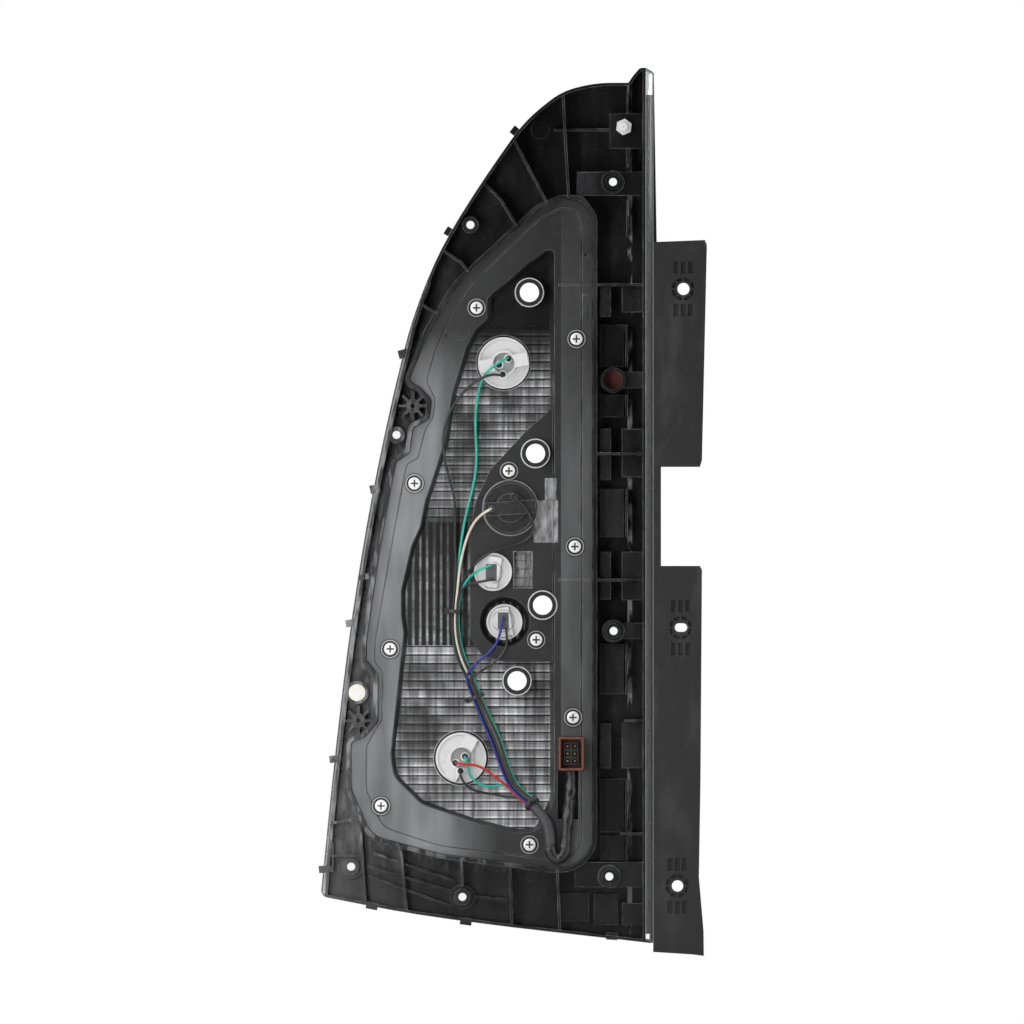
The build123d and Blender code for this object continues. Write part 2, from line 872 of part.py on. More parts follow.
# Rear frame: the glossy moulding that carries everything
with BuildPart() as rear_frame:
    # Floor, rim and the wall of the well that the housing lies in
    with BuildSketch(at_depth(floor_y)):
        add(frame_face.sketch)
        offset(housing_outline, amount=seam_gap + ridge_width / 2, mode=Mode.SUBTRACT)
    extrude(amount=-floor_thickness)
    with BuildSketch(at_depth(0)):
        add(frame_face.sketch)
        offset(frame_face.sketch, amount=-frame_wall, mode=Mode.SUBTRACT)
    extrude(amount=-frame_front_y)
    with BuildSketch(at_depth(ridge_set_back)):
        offset(housing_outline, amount=seam_gap + ridge_width)
        offset(housing_outline, amount=seam_gap, mode=Mode.SUBTRACT)
    extrude(amount=-(frame_front_y - ridge_set_back))

    # Ledge under the housing's margin, open round the connector's pocket
    with BuildSketch(at_depth(ledge_y)):
        offset(housing_outline, amount=seam_gap + ridge_width / 2)
        offset(recess_outline, amount=shell_wall + ledge_gap, mode=Mode.SUBTRACT)
        box_strip(pocket_block_left_x - ledge_gap, pocket_block_right_x + running_gap,
                  pocket_block_low_z - ledge_gap, pocket_block_high_z + ledge_gap, Mode.SUBTRACT)
    extrude(amount=-ledge_thickness)

    # Steps, hollow from the lens side
    for rear_y, steps in frame_steps.items():
        with BuildSketch(at_depth(rear_y)):
            for step in steps:
                box_strip(*step)
            add(rib_field.sketch, mode=Mode.INTERSECT)
        extrude(amount=-(frame_front_y - rear_y))
    for rear_y, steps in frame_steps.items():
        with BuildSketch(at_depth(rear_y + frame_wall)):
            for left, right, low, high in steps:
                box_strip(left + frame_wall, right - frame_wall, low + frame_wall, high - frame_wall)
            add(hollow_field.sketch, mode=Mode.INTERSECT)
        extrude(amount=-(frame_front_y - rear_y - frame_wall), mode=Mode.SUBTRACT)

    # Stiffening ribs
    for rear_y, ribs in frame_ribs.items():
        with BuildSketch(at_depth(rear_y)):
            for rib in ribs:
                for n in range(len(rib) - 1):
                    wall_strip(rib[n], rib[n + 1], rib_thickness)
            add(rib_field.sketch, mode=Mode.INTERSECT)
        extrude(amount=-(frame_front_y - rear_y))

    # Fixing bosses with their grooves and holes
    with BuildSketch(at_depth(boss_y)):
        with Locations(*wide_bosses):
            Circle(wide_boss_r)
        with Locations(*narrow_bosses):
            Circle(narrow_boss_r)
        with Locations(bush_place):
            Circle(bush_r + bush_boss_wall)
        with Locations(reflector_place):
            Circle(reflector_boss_r)
    extrude(amount=-(frame_front_y - boss_y))
    posts(collared_bosses, collar_r, collar_y, frame_front_y)
    with BuildSketch(at_depth(boss_y)):
        with Locations(*wide_bosses):
            Circle(wide_groove_outer_r)
            Circle(wide_groove_inner_r, mode=Mode.SUBTRACT)
    extrude(amount=-wide_groove_depth, mode=Mode.SUBTRACT)

    # Holes of the bosses, and the shouldered hole of the side reflector
    with BuildSketch(at_depth(boss_y)):
        with Locations(*wide_bosses, *narrow_bosses):
            Circle(fixing_hole_r)
        with Locations(bush_place):
            Circle(bush_r)
        with Locations(reflector_place):
            Circle(reflector_stem_r + fit_gap)
    extrude(amount=-(frame_front_y - boss_y), mode=Mode.SUBTRACT)
    post(reflector_place, reflector_r + fit_gap, boss_y, reflector_y + reflector_flange, Mode.SUBTRACT)

    # Star bosses
    with BuildSketch(at_depth(star_y)):
        with Locations(*star_bosses):
            Circle(star_hub_r)
        for place in star_bosses:
            for n in range(star_rib_count):
                wall_strip(place, polar(place, star_r, 360 / star_rib_count * n), rib_thickness)
        add(rib_field.sketch, mode=Mode.INTERSECT)
    extrude(amount=-(frame_front_y - star_y))
    posts(star_bosses, star_hole_r, star_y, star_y + star_hole_depth, Mode.SUBTRACT)

    # Bosses for the housing's screws, which stand on the ledge
    posts(margin_screws, screw_boss_r, margin_front_y, margin_front_y + screw_boss_length)
    posts(margin_screws, screw_pilot_r, margin_front_y, margin_front_y + screw_boss_length, Mode.SUBTRACT)

    # Seat of the stud, ejector disc and snap tabs
    post(stud_place, stud_r + rib_thickness, stud_pad_y, stud_pad_y + stud_depth + frame_wall)
    post(stud_place, stud_r, stud_pad_y, stud_pad_y + stud_depth, Mode.SUBTRACT)
    post(disc_place, disc_r, floor_y - disc_height, floor_y)
    with BuildSketch(at_depth(tab_y)):
        for x, z, width, height, turn in snap_tabs:
            with Locations((x, z)):
                Rectangle(width, height, rotation=turn)
    extrude(amount=-tab_thickness)
finish(rear_frame, "rear_frame")

# Side flange: the satin plate beside the tailgate's opening
flange_left_x = lens_edge_x + lens_gap
flange_front_y = flange_thickness + hub_height
flange_outline = plain_outline([(x if x > flange_corners[0][0] else flange_left_x, z) for x, z in flange_corners])
with BuildPart() as side_flange:
    # Plate, side wall and the long wedge above
    with BuildSketch(at_depth(0)):
        add(flange_outline)
    extrude(amount=-flange_thickness)
    block(flange_left_x, flange_left_x + flange_wall, flange_corners[-1][1], flange_corners[0][1], 0, flange_depth)
    with BuildSketch(at_depth(wedge_rear_y)):
        add(plain_outline([
            (flange_left_x, wedge_top_z),
            (flange_left_x + flange_wall / 5, wedge_top_z),
            (flange_left_x + flange_wall, flange_corners[0][1] - flange_wall),
            (flange_left_x, flange_corners[0][1] - flange_wall),
        ]))
    extrude(amount=-(flange_depth - wedge_rear_y))
    chamfer(side_flange.edges().filter_by_position(Axis.Y, -0.01, 0.01).group_by(Axis.X)[-1]
            + side_flange.edges().filter_by_position(Axis.Y, -0.01, 0.01).filter_by(Axis.X).sort_by(Axis.Z)[-1:],
            length=flange_bevel)

    # Hubs round the holes, with a shallow ring of ribs and flutes on the rear face
    hub_places = [upper_hole, slot_place, lower_hole]
    posts(hub_places, hub_r, flange_thickness, flange_front_y)
    with BuildSketch(at_depth(0)):
        with Locations(*hub_places):
            Circle(web_outer_r)
            Circle(web_inner_r, mode=Mode.SUBTRACT)
        for place in hub_places:
            for n in range(web_rib_count):
                turn = 360 / web_rib_count * n
                wall_strip(polar(place, web_inner_r / 2, turn), polar(place, hub_r, turn), web_rib, Mode.SUBTRACT)
        for x, z in hub_places:
            with Locations((x, z + (flute_start + flute_end) / 2), (x, z - (flute_start + flute_end) / 2)):
                with GridLocations(flute_pitch, 1, 3, 1):
                    Rectangle(flute_width, flute_end - flute_start)
    extrude(amount=-web_depth, mode=Mode.SUBTRACT)
    posts(ejector_marks, ejector_mark_r, 0, ejector_mark_depth, Mode.SUBTRACT)
    with BuildSketch(at_depth(0)):
        with Locations(upper_hole):
            Circle(upper_hole_r)
        with Locations(lower_hole):
            Circle(lower_hole_r)
        with Locations(slot_place):
            SlotOverall(slot_length, slot_width)
    extrude(amount=-flange_front_y, mode=Mode.SUBTRACT)
finish(side_flange, "side_flange")

# Recess of the housing, left standing where the plateau is
with BuildPart(mode=Mode.PRIVATE) as recess_void:
    with BuildSketch(at_depth(margin_y)):
        add(recess_outline)
    extrude(amount=-recess_depth, taper=recess_taper)
    with BuildSketch(at_depth(plateau_y)):
        add(plateau_outline)
    extrude(amount=-(window_y - plateau_y), mode=Mode.SUBTRACT)

# Holes of the holders on the two levels
large_hole_r = large_neck_r + neck_gap
small_hole_r = small_neck_r + neck_gap
window_holders = [
    (upper_holder_place, large_hole_r),
    (reverse_holder_place, small_hole_r),
    (lower_holder_place, large_hole_r),
]
plateau_holders = [(turn_holder_place, large_hole_r), (marker_holder_place, small_hole_r)]

# Fields of facets, cut back where the holders seat
with BuildSketch(mode=Mode.PRIVATE) as facet_fields:
    for field in (upper_facets, middle_facets, lower_facets):
        add(plain_outline(field))
    with Locations(upper_holder_place, lower_holder_place):
        Circle(upper_holder_r, mode=Mode.SUBTRACT)

# Lamp housing: the moulding with the reflectors, the tunnels and the seats of the holders
plateau_hollow_right_x = chrome_right_x - shell_wall
with BuildPart() as lamp_housing:
    # Margin, tapered recess and the plateau in it, hollow from the lens side
    with BuildSketch(at_depth(margin_y)):
        add(housing_outline)
    extrude(amount=-margin_thickness)
    with BuildSketch(at_depth(margin_y)):
        offset(recess_outline, amount=shell_wall)
    extrude(amount=-(recess_depth + shell_wall), taper=recess_taper)
    add(recess_void.part, mode=Mode.SUBTRACT)
    with BuildSketch(at_depth(plateau_y + shell_wall)):
        offset(plateau_outline, amount=-shell_wall)
        box_strip(plateau_hollow_right_x, sheet_right, sheet_low, sheet_high, Mode.SUBTRACT)
    extrude(amount=-(window_front_y - plateau_y - shell_wall), mode=Mode.SUBTRACT)

    # Deep cup of the reverse holder and the small faceted window
    with BuildSketch(at_depth(plateau_y)):
        with Locations(reverse_holder_place):
            Circle(cup_r + shell_wall)
    extrude(amount=-(window_front_y - plateau_y), taper=cup_taper)
    with BuildSketch(at_depth(plateau_y)):
        with Locations(reverse_holder_place):
            Circle(cup_r)
    extrude(amount=-(window_y - plateau_y), taper=cup_taper, mode=Mode.SUBTRACT)
    block(side_window[0] - shell_wall, side_window[1] + shell_wall, side_window[2] - shell_wall,
          side_window[3] + shell_wall, plateau_y, side_window_y + shell_wall)
    block(*side_window, plateau_y, side_window_y, Mode.SUBTRACT)

    # Pocket of the connector and of the lead that dives to it
    block(pocket_block_left_x, pocket_block_right_x, pocket_low_z - pocket_wall, pocket_block_high_z,
          margin_y, connector_front_y + pocket_floor)
    block(pocket_block_left_x, lead_pocket_right_x + pocket_wall, pocket_block_low_z, pocket_low_z,
          margin_y, lead_pocket_y + pocket_floor)
    block(pocket_left_x, pocket_right_x, pocket_low_z, pocket_high_z, margin_y, connector_front_y, Mode.SUBTRACT)
    block(lead_pocket_left_x, lead_pocket_right_x, lead_pocket_low_z, pocket_low_z, margin_y, lead_pocket_y,
          Mode.SUBTRACT)

    # Tunnels, and the rings that stand round the screws
    posts(tunnel_places, tunnel_r, tunnel_rear_y, lens_inner_y)
    for places, seat_y in ((margin_screws, margin_y), (plateau_screws, plateau_y)):
        posts(places, screw_seat_r, seat_y - screw_seat_height, seat_y)
        posts(places, screw_seat_r - screw_seat_wall, seat_y - screw_seat_height, seat_y, Mode.SUBTRACT)
        posts(places, screw_hole_r, seat_y, seat_y + margin_thickness, Mode.SUBTRACT)
    posts(tunnel_places, tunnel_bore_r, tunnel_rear_y, lens_inner_y, Mode.SUBTRACT)

    # Holes for the holders, notched for their lugs
    for holders, seat_y in ((window_holders, window_y), (plateau_holders, plateau_y)):
        with BuildSketch(at_depth(seat_y)):
            for place, hole_r in holders:
                with Locations(place):
                    Circle(hole_r)
                for n in range(lug_count):
                    turn = 360 / lug_count * n
                    wall_strip(place, polar(place, hole_r + lug_length, turn), lug_width + 2 * neck_gap)
        extrude(amount=-shell_wall, mode=Mode.SUBTRACT)

    # Groove, ribs and small marks of the margin
    with BuildSketch(at_depth(margin_y)):
        offset(groove_outline, amount=groove_width / 2)
        offset(groove_outline, amount=-groove_width / 2, mode=Mode.SUBTRACT)
    extrude(amount=-groove_depth, mode=Mode.SUBTRACT)
    for z, left in margin_ribs:
        block(left, housing_corners[0][0] - margin_rib_width, z - margin_rib_width / 2, z + margin_rib_width / 2,
              margin_y - margin_rib_height, margin_y)
    post(margin_disc, margin_disc_r, margin_y - margin_mark_height, margin_y)
    posts(margin_vents, margin_vent_r, margin_y, margin_y + margin_vent_depth, Mode.SUBTRACT)
    block(*tongue, margin_y - margin_mark_height, margin_y)

    # Rows of facets on the backs of the reflectors, fluting between them, and rows in the small window
    with BuildSketch(at_depth(window_y)):
        for field in (upper_facets, lower_facets):
            low = min(z for x, z in field)
            high = max(z for x, z in field)
            for n in range(1, int((high - low) / facet_pitch)):
                box_strip(min(x for x, z in field), max(x for x, z in field), high - n * facet_pitch - facet_line,
                          high - n * facet_pitch)
        left = min(x for x, z in middle_facets)
        right = max(x for x, z in middle_facets)
        for n in range(1, int((right - left) / fluting_pitch)):
            box_strip(right - n * fluting_pitch - facet_line, right - n * fluting_pitch,
                      min(z for x, z in middle_facets), max(z for x, z in middle_facets))
        add(facet_fields.sketch, mode=Mode.INTERSECT)
    extrude(amount=-facet_depth, mode=Mode.SUBTRACT)
    with BuildSketch(at_depth(side_window_y)):
        for n in range(1, int((side_window[3] - side_window[2]) / facet_pitch) + 1):
            z = side_window[3] - n * facet_pitch
            box_strip(side_window[0], side_window[1], z, z + facet_line)
    extrude(amount=-facet_depth, mode=Mode.SUBTRACT)
finish(lamp_housing, "lamp_housing")

# Gasket between the housing's margin and the frame's ledge
with BuildPart() as housing_seal:
    with BuildSketch(at_depth(margin_front_y)):
        offset(housing_outline, amount=-seal_inset)
        offset(housing_outline, amount=-seal_inset - seal_width, mode=Mode.SUBTRACT)
    extrude(amount=-seal_thickness)
finish(housing_seal, "housing_seal")

# Outer lens: a clear shell that stands on the frame, with a skirt on the left and two fins on the right
outer_fin_right_x = lens_edge_x
outer_fin_left_x = lens_edge_x - outer_fin_thickness
inner_fin_left_x = right_edge_x + lens_gap
with BuildPart() as outer_lens:
    with BuildSketch(at_depth(frame_front_y)):
        add(lens_outline)
    extrude(amount=-lens_height)
    with BuildSketch(at_depth(frame_front_y)):
        offset(lens_outline, amount=-lens_wall)
    extrude(amount=-(lens_height - lens_wall), mode=Mode.SUBTRACT)
    with BuildSketch(at_depth(skirt_rear_y)):
        add(lens_outline)
        add(skirt_strip, mode=Mode.INTERSECT)
    extrude(amount=-(frame_front_y - skirt_rear_y))
    block(inner_fin_left_x, outer_fin_right_x, fin_low_z, fin_high_z, frame_front_y, frame_front_y + lens_shelf)
    block(inner_fin_left_x, inner_fin_left_x + inner_fin_thickness, fin_low_z, fin_high_z, fin_rear_y, frame_front_y)
    block(outer_fin_left_x, outer_fin_right_x, fin_low_z, fin_high_z, fin_rear_y, frame_front_y)
    posts(tunnel_places, tunnel_bore_r, lens_inner_y, lens_front_y, Mode.SUBTRACT)
    front_rim = outer_lens.faces().filter_by(Axis.Y).sort_by(Axis.Y)[-1].outer_wire()
    fillet(front_rim.edges(), radius=lens_edge_radius)
finish(outer_lens, "outer_lens")

# Red inner lens: a tray over the well, with an opening for the clear panel
inner_window_left, inner_window_right, inner_window_low, inner_window_high = inner_window
inner_tray_inset = seam_gap + ridge_width - inner_wall_inset / 2
with BuildPart() as red_inner_lens:
    with BuildSketch(at_depth(frame_front_y)):
        offset(housing_outline, amount=inner_tray_inset)
    extrude(amount=-(inner_lens_y + inner_lens_wall - frame_front_y))
    with BuildSketch(at_depth(frame_front_y)):
        offset(housing_outline, amount=inner_tray_inset - inner_lens_side)
    extrude(amount=-(inner_lens_y - frame_front_y), mode=Mode.SUBTRACT)
    with BuildSketch(at_depth(inner_lens_y)):
        with Locations(((inner_window_left + inner_window_right) / 2, (inner_window_low + inner_window_high) / 2)):
            RectangleRounded(inner_window_right - inner_window_left, inner_window_high - inner_window_low,
                             inner_window_r)
        with Locations(*tunnel_places):
            Circle(tunnel_r + tunnel_clearance)
    extrude(amount=-inner_lens_wall, mode=Mode.SUBTRACT)
finish(red_inner_lens, "red_inner_lens")

# Clear panel behind that opening
with BuildPart() as clear_inner_lens:
    with BuildSketch(at_depth(inner_lens_y - inner_lens_wall)):
        with Locations(((inner_window_left + inner_window_right) / 2, (inner_window_low + inner_window_high) / 2)):
            RectangleRounded(inner_window_right - inner_window_left + 2 * inner_window_lap,
                             inner_window_high - inner_window_low + 2 * inner_window_lap, inner_window_r)
        with Locations(*tunnel_places):
            Circle(tunnel_r + tunnel_clearance, mode=Mode.SUBTRACT)
    extrude(amount=-inner_lens_wall)
finish(clear_inner_lens, "clear_inner_lens")

# Chromed reflector behind the plateau
with BuildPart() as inner_reflector:
    with BuildSketch(at_depth(chrome_y)):
        offset(plateau_outline, amount=-chrome_inset)
        box_strip(chrome_right_x, sheet_right, sheet_low, sheet_high, Mode.SUBTRACT)
    extrude(amount=-(chrome_front_y - chrome_y))
    with BuildSketch(at_depth(chrome_y + chrome_thickness)):
        offset(plateau_outline, amount=-chrome_inset - chrome_wall)
        box_strip(chrome_right_x - chrome_wall, sheet_right, sheet_low, sheet_high, Mode.SUBTRACT)
    extrude(amount=-(chrome_front_y - chrome_y - chrome_thickness), mode=Mode.SUBTRACT)
    posts(plateau_screws, chrome_boss_r, plateau_y + shell_wall, chrome_y + chrome_thickness + chrome_boss_floor)
    posts(plateau_screws, screw_pilot_r, plateau_y + shell_wall, chrome_y + chrome_thickness, Mode.SUBTRACT)
    post(turn_holder_place, large_hole_r + lug_length + running_gap, chrome_y, chrome_front_y, Mode.SUBTRACT)
    post(marker_holder_place, small_hole_r + lug_length, chrome_y, chrome_front_y, Mode.SUBTRACT)
    post(reverse_holder_place, small_hole_r + lug_length, chrome_y, chrome_front_y, Mode.SUBTRACT)
    posts(tunnel_places, tunnel_r + tunnel_clearance, chrome_y, chrome_front_y, Mode.SUBTRACT)
finish(inner_reflector, "inner_reflector")

# Red side reflector in the blind boss
with BuildPart() as side_reflector:
    post(reflector_place, reflector_r, reflector_y, reflector_y + reflector_flange)
    post(reflector_place, reflector_stem_r, reflector_y + reflector_flange, frame_front_y)
finish(side_reflector, "side_reflector")


# Twist-in bulb holders
def holder_body(place, flange_r, neck_r, floor_y, bore_r, bore_y):
    """Flange, neck and lugs of a twist-in holder, drawn in the open part."""
    flange_y = floor_y - holder_seal - holder_flange
    neck_y = floor_y - holder_seal
    lug_y = floor_y + shell_wall + fit_gap
    post(place, flange_r, flange_y, neck_y)
    post(place, neck_r, neck_y, neck_y + neck_length)
    for n in range(lug_count):
        turn = 360 / lug_count * (n + 0.5)
        bar(polar(place, neck_r, turn), 2 * lug_length, lug_width, turn, lug_y, lug_y + lug_thickness)
    post(place, bore_r, bore_y, neck_y + neck_length, Mode.SUBTRACT)


def wire_tubes(names, flange_y):
    """Short tubes that stand on a holder and let its wires out, drawn in the open part."""
    for name in names:
        x, y, z = wire_starts[name][0][0]
        post((x, z), wire_tube_r, y, flange_y)


def seal_ring(place, flange_r, floor_y):
    """Rubber ring between a holder's flange and its seat, drawn in the open part."""
    post(place, flange_r - fit_gap, floor_y - holder_seal, floor_y)
    post(place, flange_r - seal_ring_width, floor_y - holder_seal, floor_y, Mode.SUBTRACT)


window_flange_y = window_y - holder_seal - holder_flange
plateau_flange_y = plateau_y - holder_seal - holder_flange
large_bore_r = bulb_base_r + holder_bore_gap

with BuildPart() as upper_bulb_holder:
    holder_body(upper_holder_place, upper_holder_r, large_neck_r, window_y, large_bore_r, window_y)
    post(upper_holder_place, upper_holder_r - 1.6, window_flange_y, window_flange_y + 1.0, Mode.SUBTRACT)
    bar(upper_holder_place, 1.9 * upper_holder_r, grip_width, 10, window_flange_y - grip_height,
        window_flange_y + 1.0)
    post(upper_holder_place, 8.8, window_flange_y - grip_height + 2.0, window_flange_y + 1.0)
    post(upper_holder_place, 7.1, window_flange_y - grip_height, window_flange_y, Mode.SUBTRACT)
    wire_tubes(["upper_green_wire", "upper_black_wire"], window_flange_y + 1.0)
finish(upper_bulb_holder, "upper_bulb_holder")

with BuildPart() as lower_bulb_holder:
    holder_body(lower_holder_place, lower_holder_r, large_neck_r, window_y, large_bore_r, window_y)
    post(lower_holder_place, lower_holder_r - 1.6, window_flange_y, window_flange_y + 1.0, Mode.SUBTRACT)
    bar(lower_holder_place, 1.9 * lower_holder_r, grip_width, 62, window_flange_y - grip_height,
        window_flange_y + 1.0)
    post(lower_holder_place, 8.8, window_flange_y - grip_height + 2.0, window_flange_y + 1.0)
    post(lower_holder_place, 7.1, window_flange_y - grip_height, window_flange_y, Mode.SUBTRACT)
    wire_tubes(["lower_red_wire", "lower_green_wire", "lower_black_wire"], window_flange_y + 1.0)
finish(lower_bulb_holder, "lower_bulb_holder")

with BuildPart() as turn_bulb_holder:
    holder_body(turn_holder_place, turn_holder_r, large_neck_r, plateau_y, large_bore_r, plateau_y)
    post(turn_holder_place, turn_holder_r - 1.6, plateau_flange_y, plateau_flange_y + 1.0, Mode.SUBTRACT)
    bar(turn_holder_place, 1.9 * turn_holder_r, grip_width, 4, plateau_flange_y - grip_height + 1.5,
        plateau_flange_y + 1.0)
    post(turn_holder_place, 10.0, plateau_flange_y - 2.0, plateau_flange_y + 1.0)
    wire_tubes(["turn_cream_wire", "turn_black_wire"], plateau_flange_y + 1.0)
finish(turn_bulb_holder, "turn_bulb_holder")

with BuildPart() as marker_bulb_holder:
    holder_body(marker_holder_place, marker_holder_r, small_neck_r, plateau_y, marker_bulb_r + holder_bore_gap,
                plateau_y)
    post(marker_holder_place, marker_holder_r - 1.4, plateau_flange_y, plateau_flange_y + 1.0, Mode.SUBTRACT)
    bar(marker_holder_place, 1.6 * marker_holder_r, grip_width, 80, plateau_flange_y - 3.5,
        plateau_flange_y + 1.0)
    wire_tubes(["marker_green_wire", "marker_black_wire"], plateau_flange_y + 1.0)
finish(marker_bulb_holder, "marker_bulb_holder")

with BuildPart() as reverse_bulb_holder:
    holder_body(reverse_holder_place, reverse_holder_r, small_neck_r, window_y, reverse_bulb_r + holder_bore_gap,
                window_y)
    post(reverse_holder_place, reverse_holder_r - 1.4, window_flange_y, window_flange_y + 1.0, Mode.SUBTRACT)
    bar(reverse_holder_place, 1.6 * reverse_holder_r, grip_width, 100, window_flange_y - 3.5,
        window_flange_y + 1.0)
    wire_tubes(["reverse_blue_wire", "reverse_black_wire"], window_flange_y + 1.0)
finish(reverse_bulb_holder, "reverse_bulb_holder")

with BuildPart() as upper_holder_seal:
    seal_ring(upper_holder_place, upper_holder_r, window_y)
finish(upper_holder_seal, "upper_holder_seal")

with BuildPart() as turn_holder_seal:
    seal_ring(turn_holder_place, turn_holder_r, plateau_y)
finish(turn_holder_seal, "turn_holder_seal")

with BuildPart() as marker_holder_seal:
    seal_ring(marker_holder_place, marker_holder_r, plateau_y)
finish(marker_holder_seal, "marker_holder_seal")

with BuildPart() as reverse_holder_seal:
    seal_ring(reverse_holder_place, reverse_holder_r, window_y)
finish(reverse_holder_seal, "reverse_holder_seal")

with BuildPart() as lower_holder_seal:
    seal_ring(lower_holder_place, lower_holder_r, window_y)
finish(lower_holder_seal, "lower_holder_seal")


# Bulbs
def large_base(place, floor_y):
    """Metal base of a large bulb, drawn in the open part."""
    post(place, bulb_base_r, floor_y, floor_y + bulb_base_length)


def large_glass(place, floor_y):
    """Glass of a large bulb, drawn in the open part."""
    glass_y = floor_y + bulb_base_length
    post(place, bulb_base_r - 1.0, glass_y, glass_y + bulb_glass_length / 2)
    with Locations((place[0], glass_y + bulb_glass_length - bulb_glass_r, place[1])):
        Sphere(bulb_glass_r)
    block(place[0] - bulb_glass_r, place[0] + bulb_glass_r, place[1] - bulb_glass_r, place[1] + bulb_glass_r,
          glass_y - bulb_glass_r, glass_y, Mode.SUBTRACT)


def wedge_bulb(place, bulb_r, floor_y):
    """Small all-glass bulb with a round top, drawn in the open part."""
    post(place, bulb_r, floor_y, floor_y + wedge_bulb_length - bulb_r)
    with Locations((place[0], floor_y + wedge_bulb_length - bulb_r, place[1])):
        Sphere(bulb_r)


with BuildPart() as upper_bulb_base:
    large_base(upper_holder_place, window_y)
finish(upper_bulb_base, "upper_bulb_base")

with BuildPart() as upper_bulb_glass:
    large_glass(upper_holder_place, window_y)
finish(upper_bulb_glass, "upper_bulb_glass")

with BuildPart() as turn_bulb_base:
    large_base(turn_holder_place, plateau_y)
finish(turn_bulb_base, "turn_bulb_base")

with BuildPart() as turn_bulb_glass:
    large_glass(turn_holder_place, plateau_y)
finish(turn_bulb_glass, "turn_bulb_glass")

with BuildPart() as lower_bulb_base:
    large_base(lower_holder_place, window_y)
finish(lower_bulb_base, "lower_bulb_base")

with BuildPart() as lower_bulb_glass:
    large_glass(lower_holder_place, window_y)
finish(lower_bulb_glass, "lower_bulb_glass")

with BuildPart() as marker_bulb:
    wedge_bulb(marker_holder_place, marker_bulb_r, plateau_y)
finish(marker_bulb, "marker_bulb")

with BuildPart() as reverse_bulb:
    wedge_bulb(reverse_holder_place, reverse_bulb_r, window_y)
finish(reverse_bulb, "reverse_bulb")

# Ten cross-recessed screws: eight in the margin, two in the plateau
with BuildPart() as housing_screws:
    for places, seat_y in ((margin_screws, margin_y), (plateau_screws, plateau_y)):
        posts(places, screw_head_r, seat_y - screw_head_height, seat_y)
        posts(places, screw_shank_r, seat_y, seat_y + screw_length)
    fillet(housing_screws.edges().filter_by(GeomType.CIRCLE).filter_by(lambda edge: edge.radius > screw_head_r - 0.01)
           .filter_by(lambda edge: abs(edge.center().Y - margin_y + screw_head_height) < 0.01
                      or abs(edge.center().Y - plateau_y + screw_head_height) < 0.01), radius=screw_head_height / 2)
    for places, seat_y in ((margin_screws, margin_y), (plateau_screws, plateau_y)):
        with BuildSketch(at_depth(seat_y - screw_head_height)):
            with Locations(*places):
                Rectangle(cross_length, cross_width)
                Rectangle(cross_width, cross_length)
        extrude(amount=-cross_depth, mode=Mode.SUBTRACT)
finish(housing_screws, "housing_screws")

# Stud and nut at the top
with BuildPart() as threaded_stud:
    post(stud_place, stud_r, stud_rear_y, stud_pad_y + stud_depth)
    chamfer(threaded_stud.faces().sort_by(Axis.Y)[0].edges(), length=0.6)
finish(threaded_stud, "threaded_stud")

with BuildPart() as hex_nut:
    with BuildSketch(at_depth(stud_pad_y - nut_height)):
        with Locations(stud_place):
            RegularPolygon(nut_across_flats / 2, 6, major_radius=False, rotation=nut_turn)
            Circle(stud_r, mode=Mode.SUBTRACT)
    extrude(amount=-nut_height)
finish(hex_nut, "hex_nut")

# Bush in the left fixing boss
with BuildPart() as left_bush:
    post(bush_place, bush_r, bush_rear_y, frame_front_y)
    post(bush_place, fixing_hole_r, bush_rear_y, frame_front_y, Mode.SUBTRACT)
finish(left_bush, "left_bush")

# Connector with its core and terminals
connector_floor_y = connector_front_y - connector_floor
core_left_x = connector_left_x + connector_wall + core_wall_gap
core_right_x = connector_right_x - connector_wall - core_wall_gap
core_low_z = connector_low_z + connector_wall + core_wall_gap
core_high_z = connector_high_z - connector_wall - core_wall_gap
connector_middle = ((connector_left_x + connector_right_x) / 2, (connector_low_z + connector_high_z) / 2)
with BuildPart() as connector_shell:
    block(connector_left_x, connector_right_x, connector_low_z, connector_high_z, connector_rear_y, connector_front_y)
    fillet(connector_shell.edges().filter_by(Axis.Y), radius=1.2)
    block(connector_left_x + connector_wall, connector_right_x - connector_wall, connector_low_z + connector_wall,
          connector_high_z - connector_wall, connector_rear_y, connector_floor_y, Mode.SUBTRACT)
finish(connector_shell, "connector_shell")

with BuildPart() as connector_core:
    block(core_left_x, core_right_x, core_low_z, core_high_z, core_rear_y, connector_floor_y)
    with BuildSketch(at_depth(core_rear_y)):
        with Locations(connector_middle):
            with GridLocations(cavity_pitch_x, cavity_pitch_z, 2, 3):
                Rectangle(cavity_size, cavity_size)
    extrude(amount=-(connector_floor_y - core_rear_y - core_back), mode=Mode.SUBTRACT)
finish(connector_core, "connector_core")

with BuildPart() as connector_terminals:
    with BuildSketch(at_depth(terminal_rear_y)):
        with Locations(connector_middle):
            with GridLocations(cavity_pitch_x, cavity_pitch_z, 2, 3):
                Rectangle(terminal_size, terminal_size)
    extrude(amount=-(connector_floor_y - core_back - terminal_rear_y))
finish(connector_terminals, "connector_terminals")


# Wires, sleeve and lead
def cord_path(route):
    """Straight runs joined by the largest tangent arcs, drawn in the open line."""
    arcs = []
    for n in range(1, len(route) - 1):
        run_in = Vector(*route[n]) - Vector(*route[n - 1])
        run_out = Vector(*route[n + 1]) - Vector(*route[n])
        turn = radians(run_in.get_angle(run_out))
        arcs.append(arc_share * min(run_in.length, run_out.length) / tan(turn / 2))
    FilletPolyline(*route, radius=arcs)


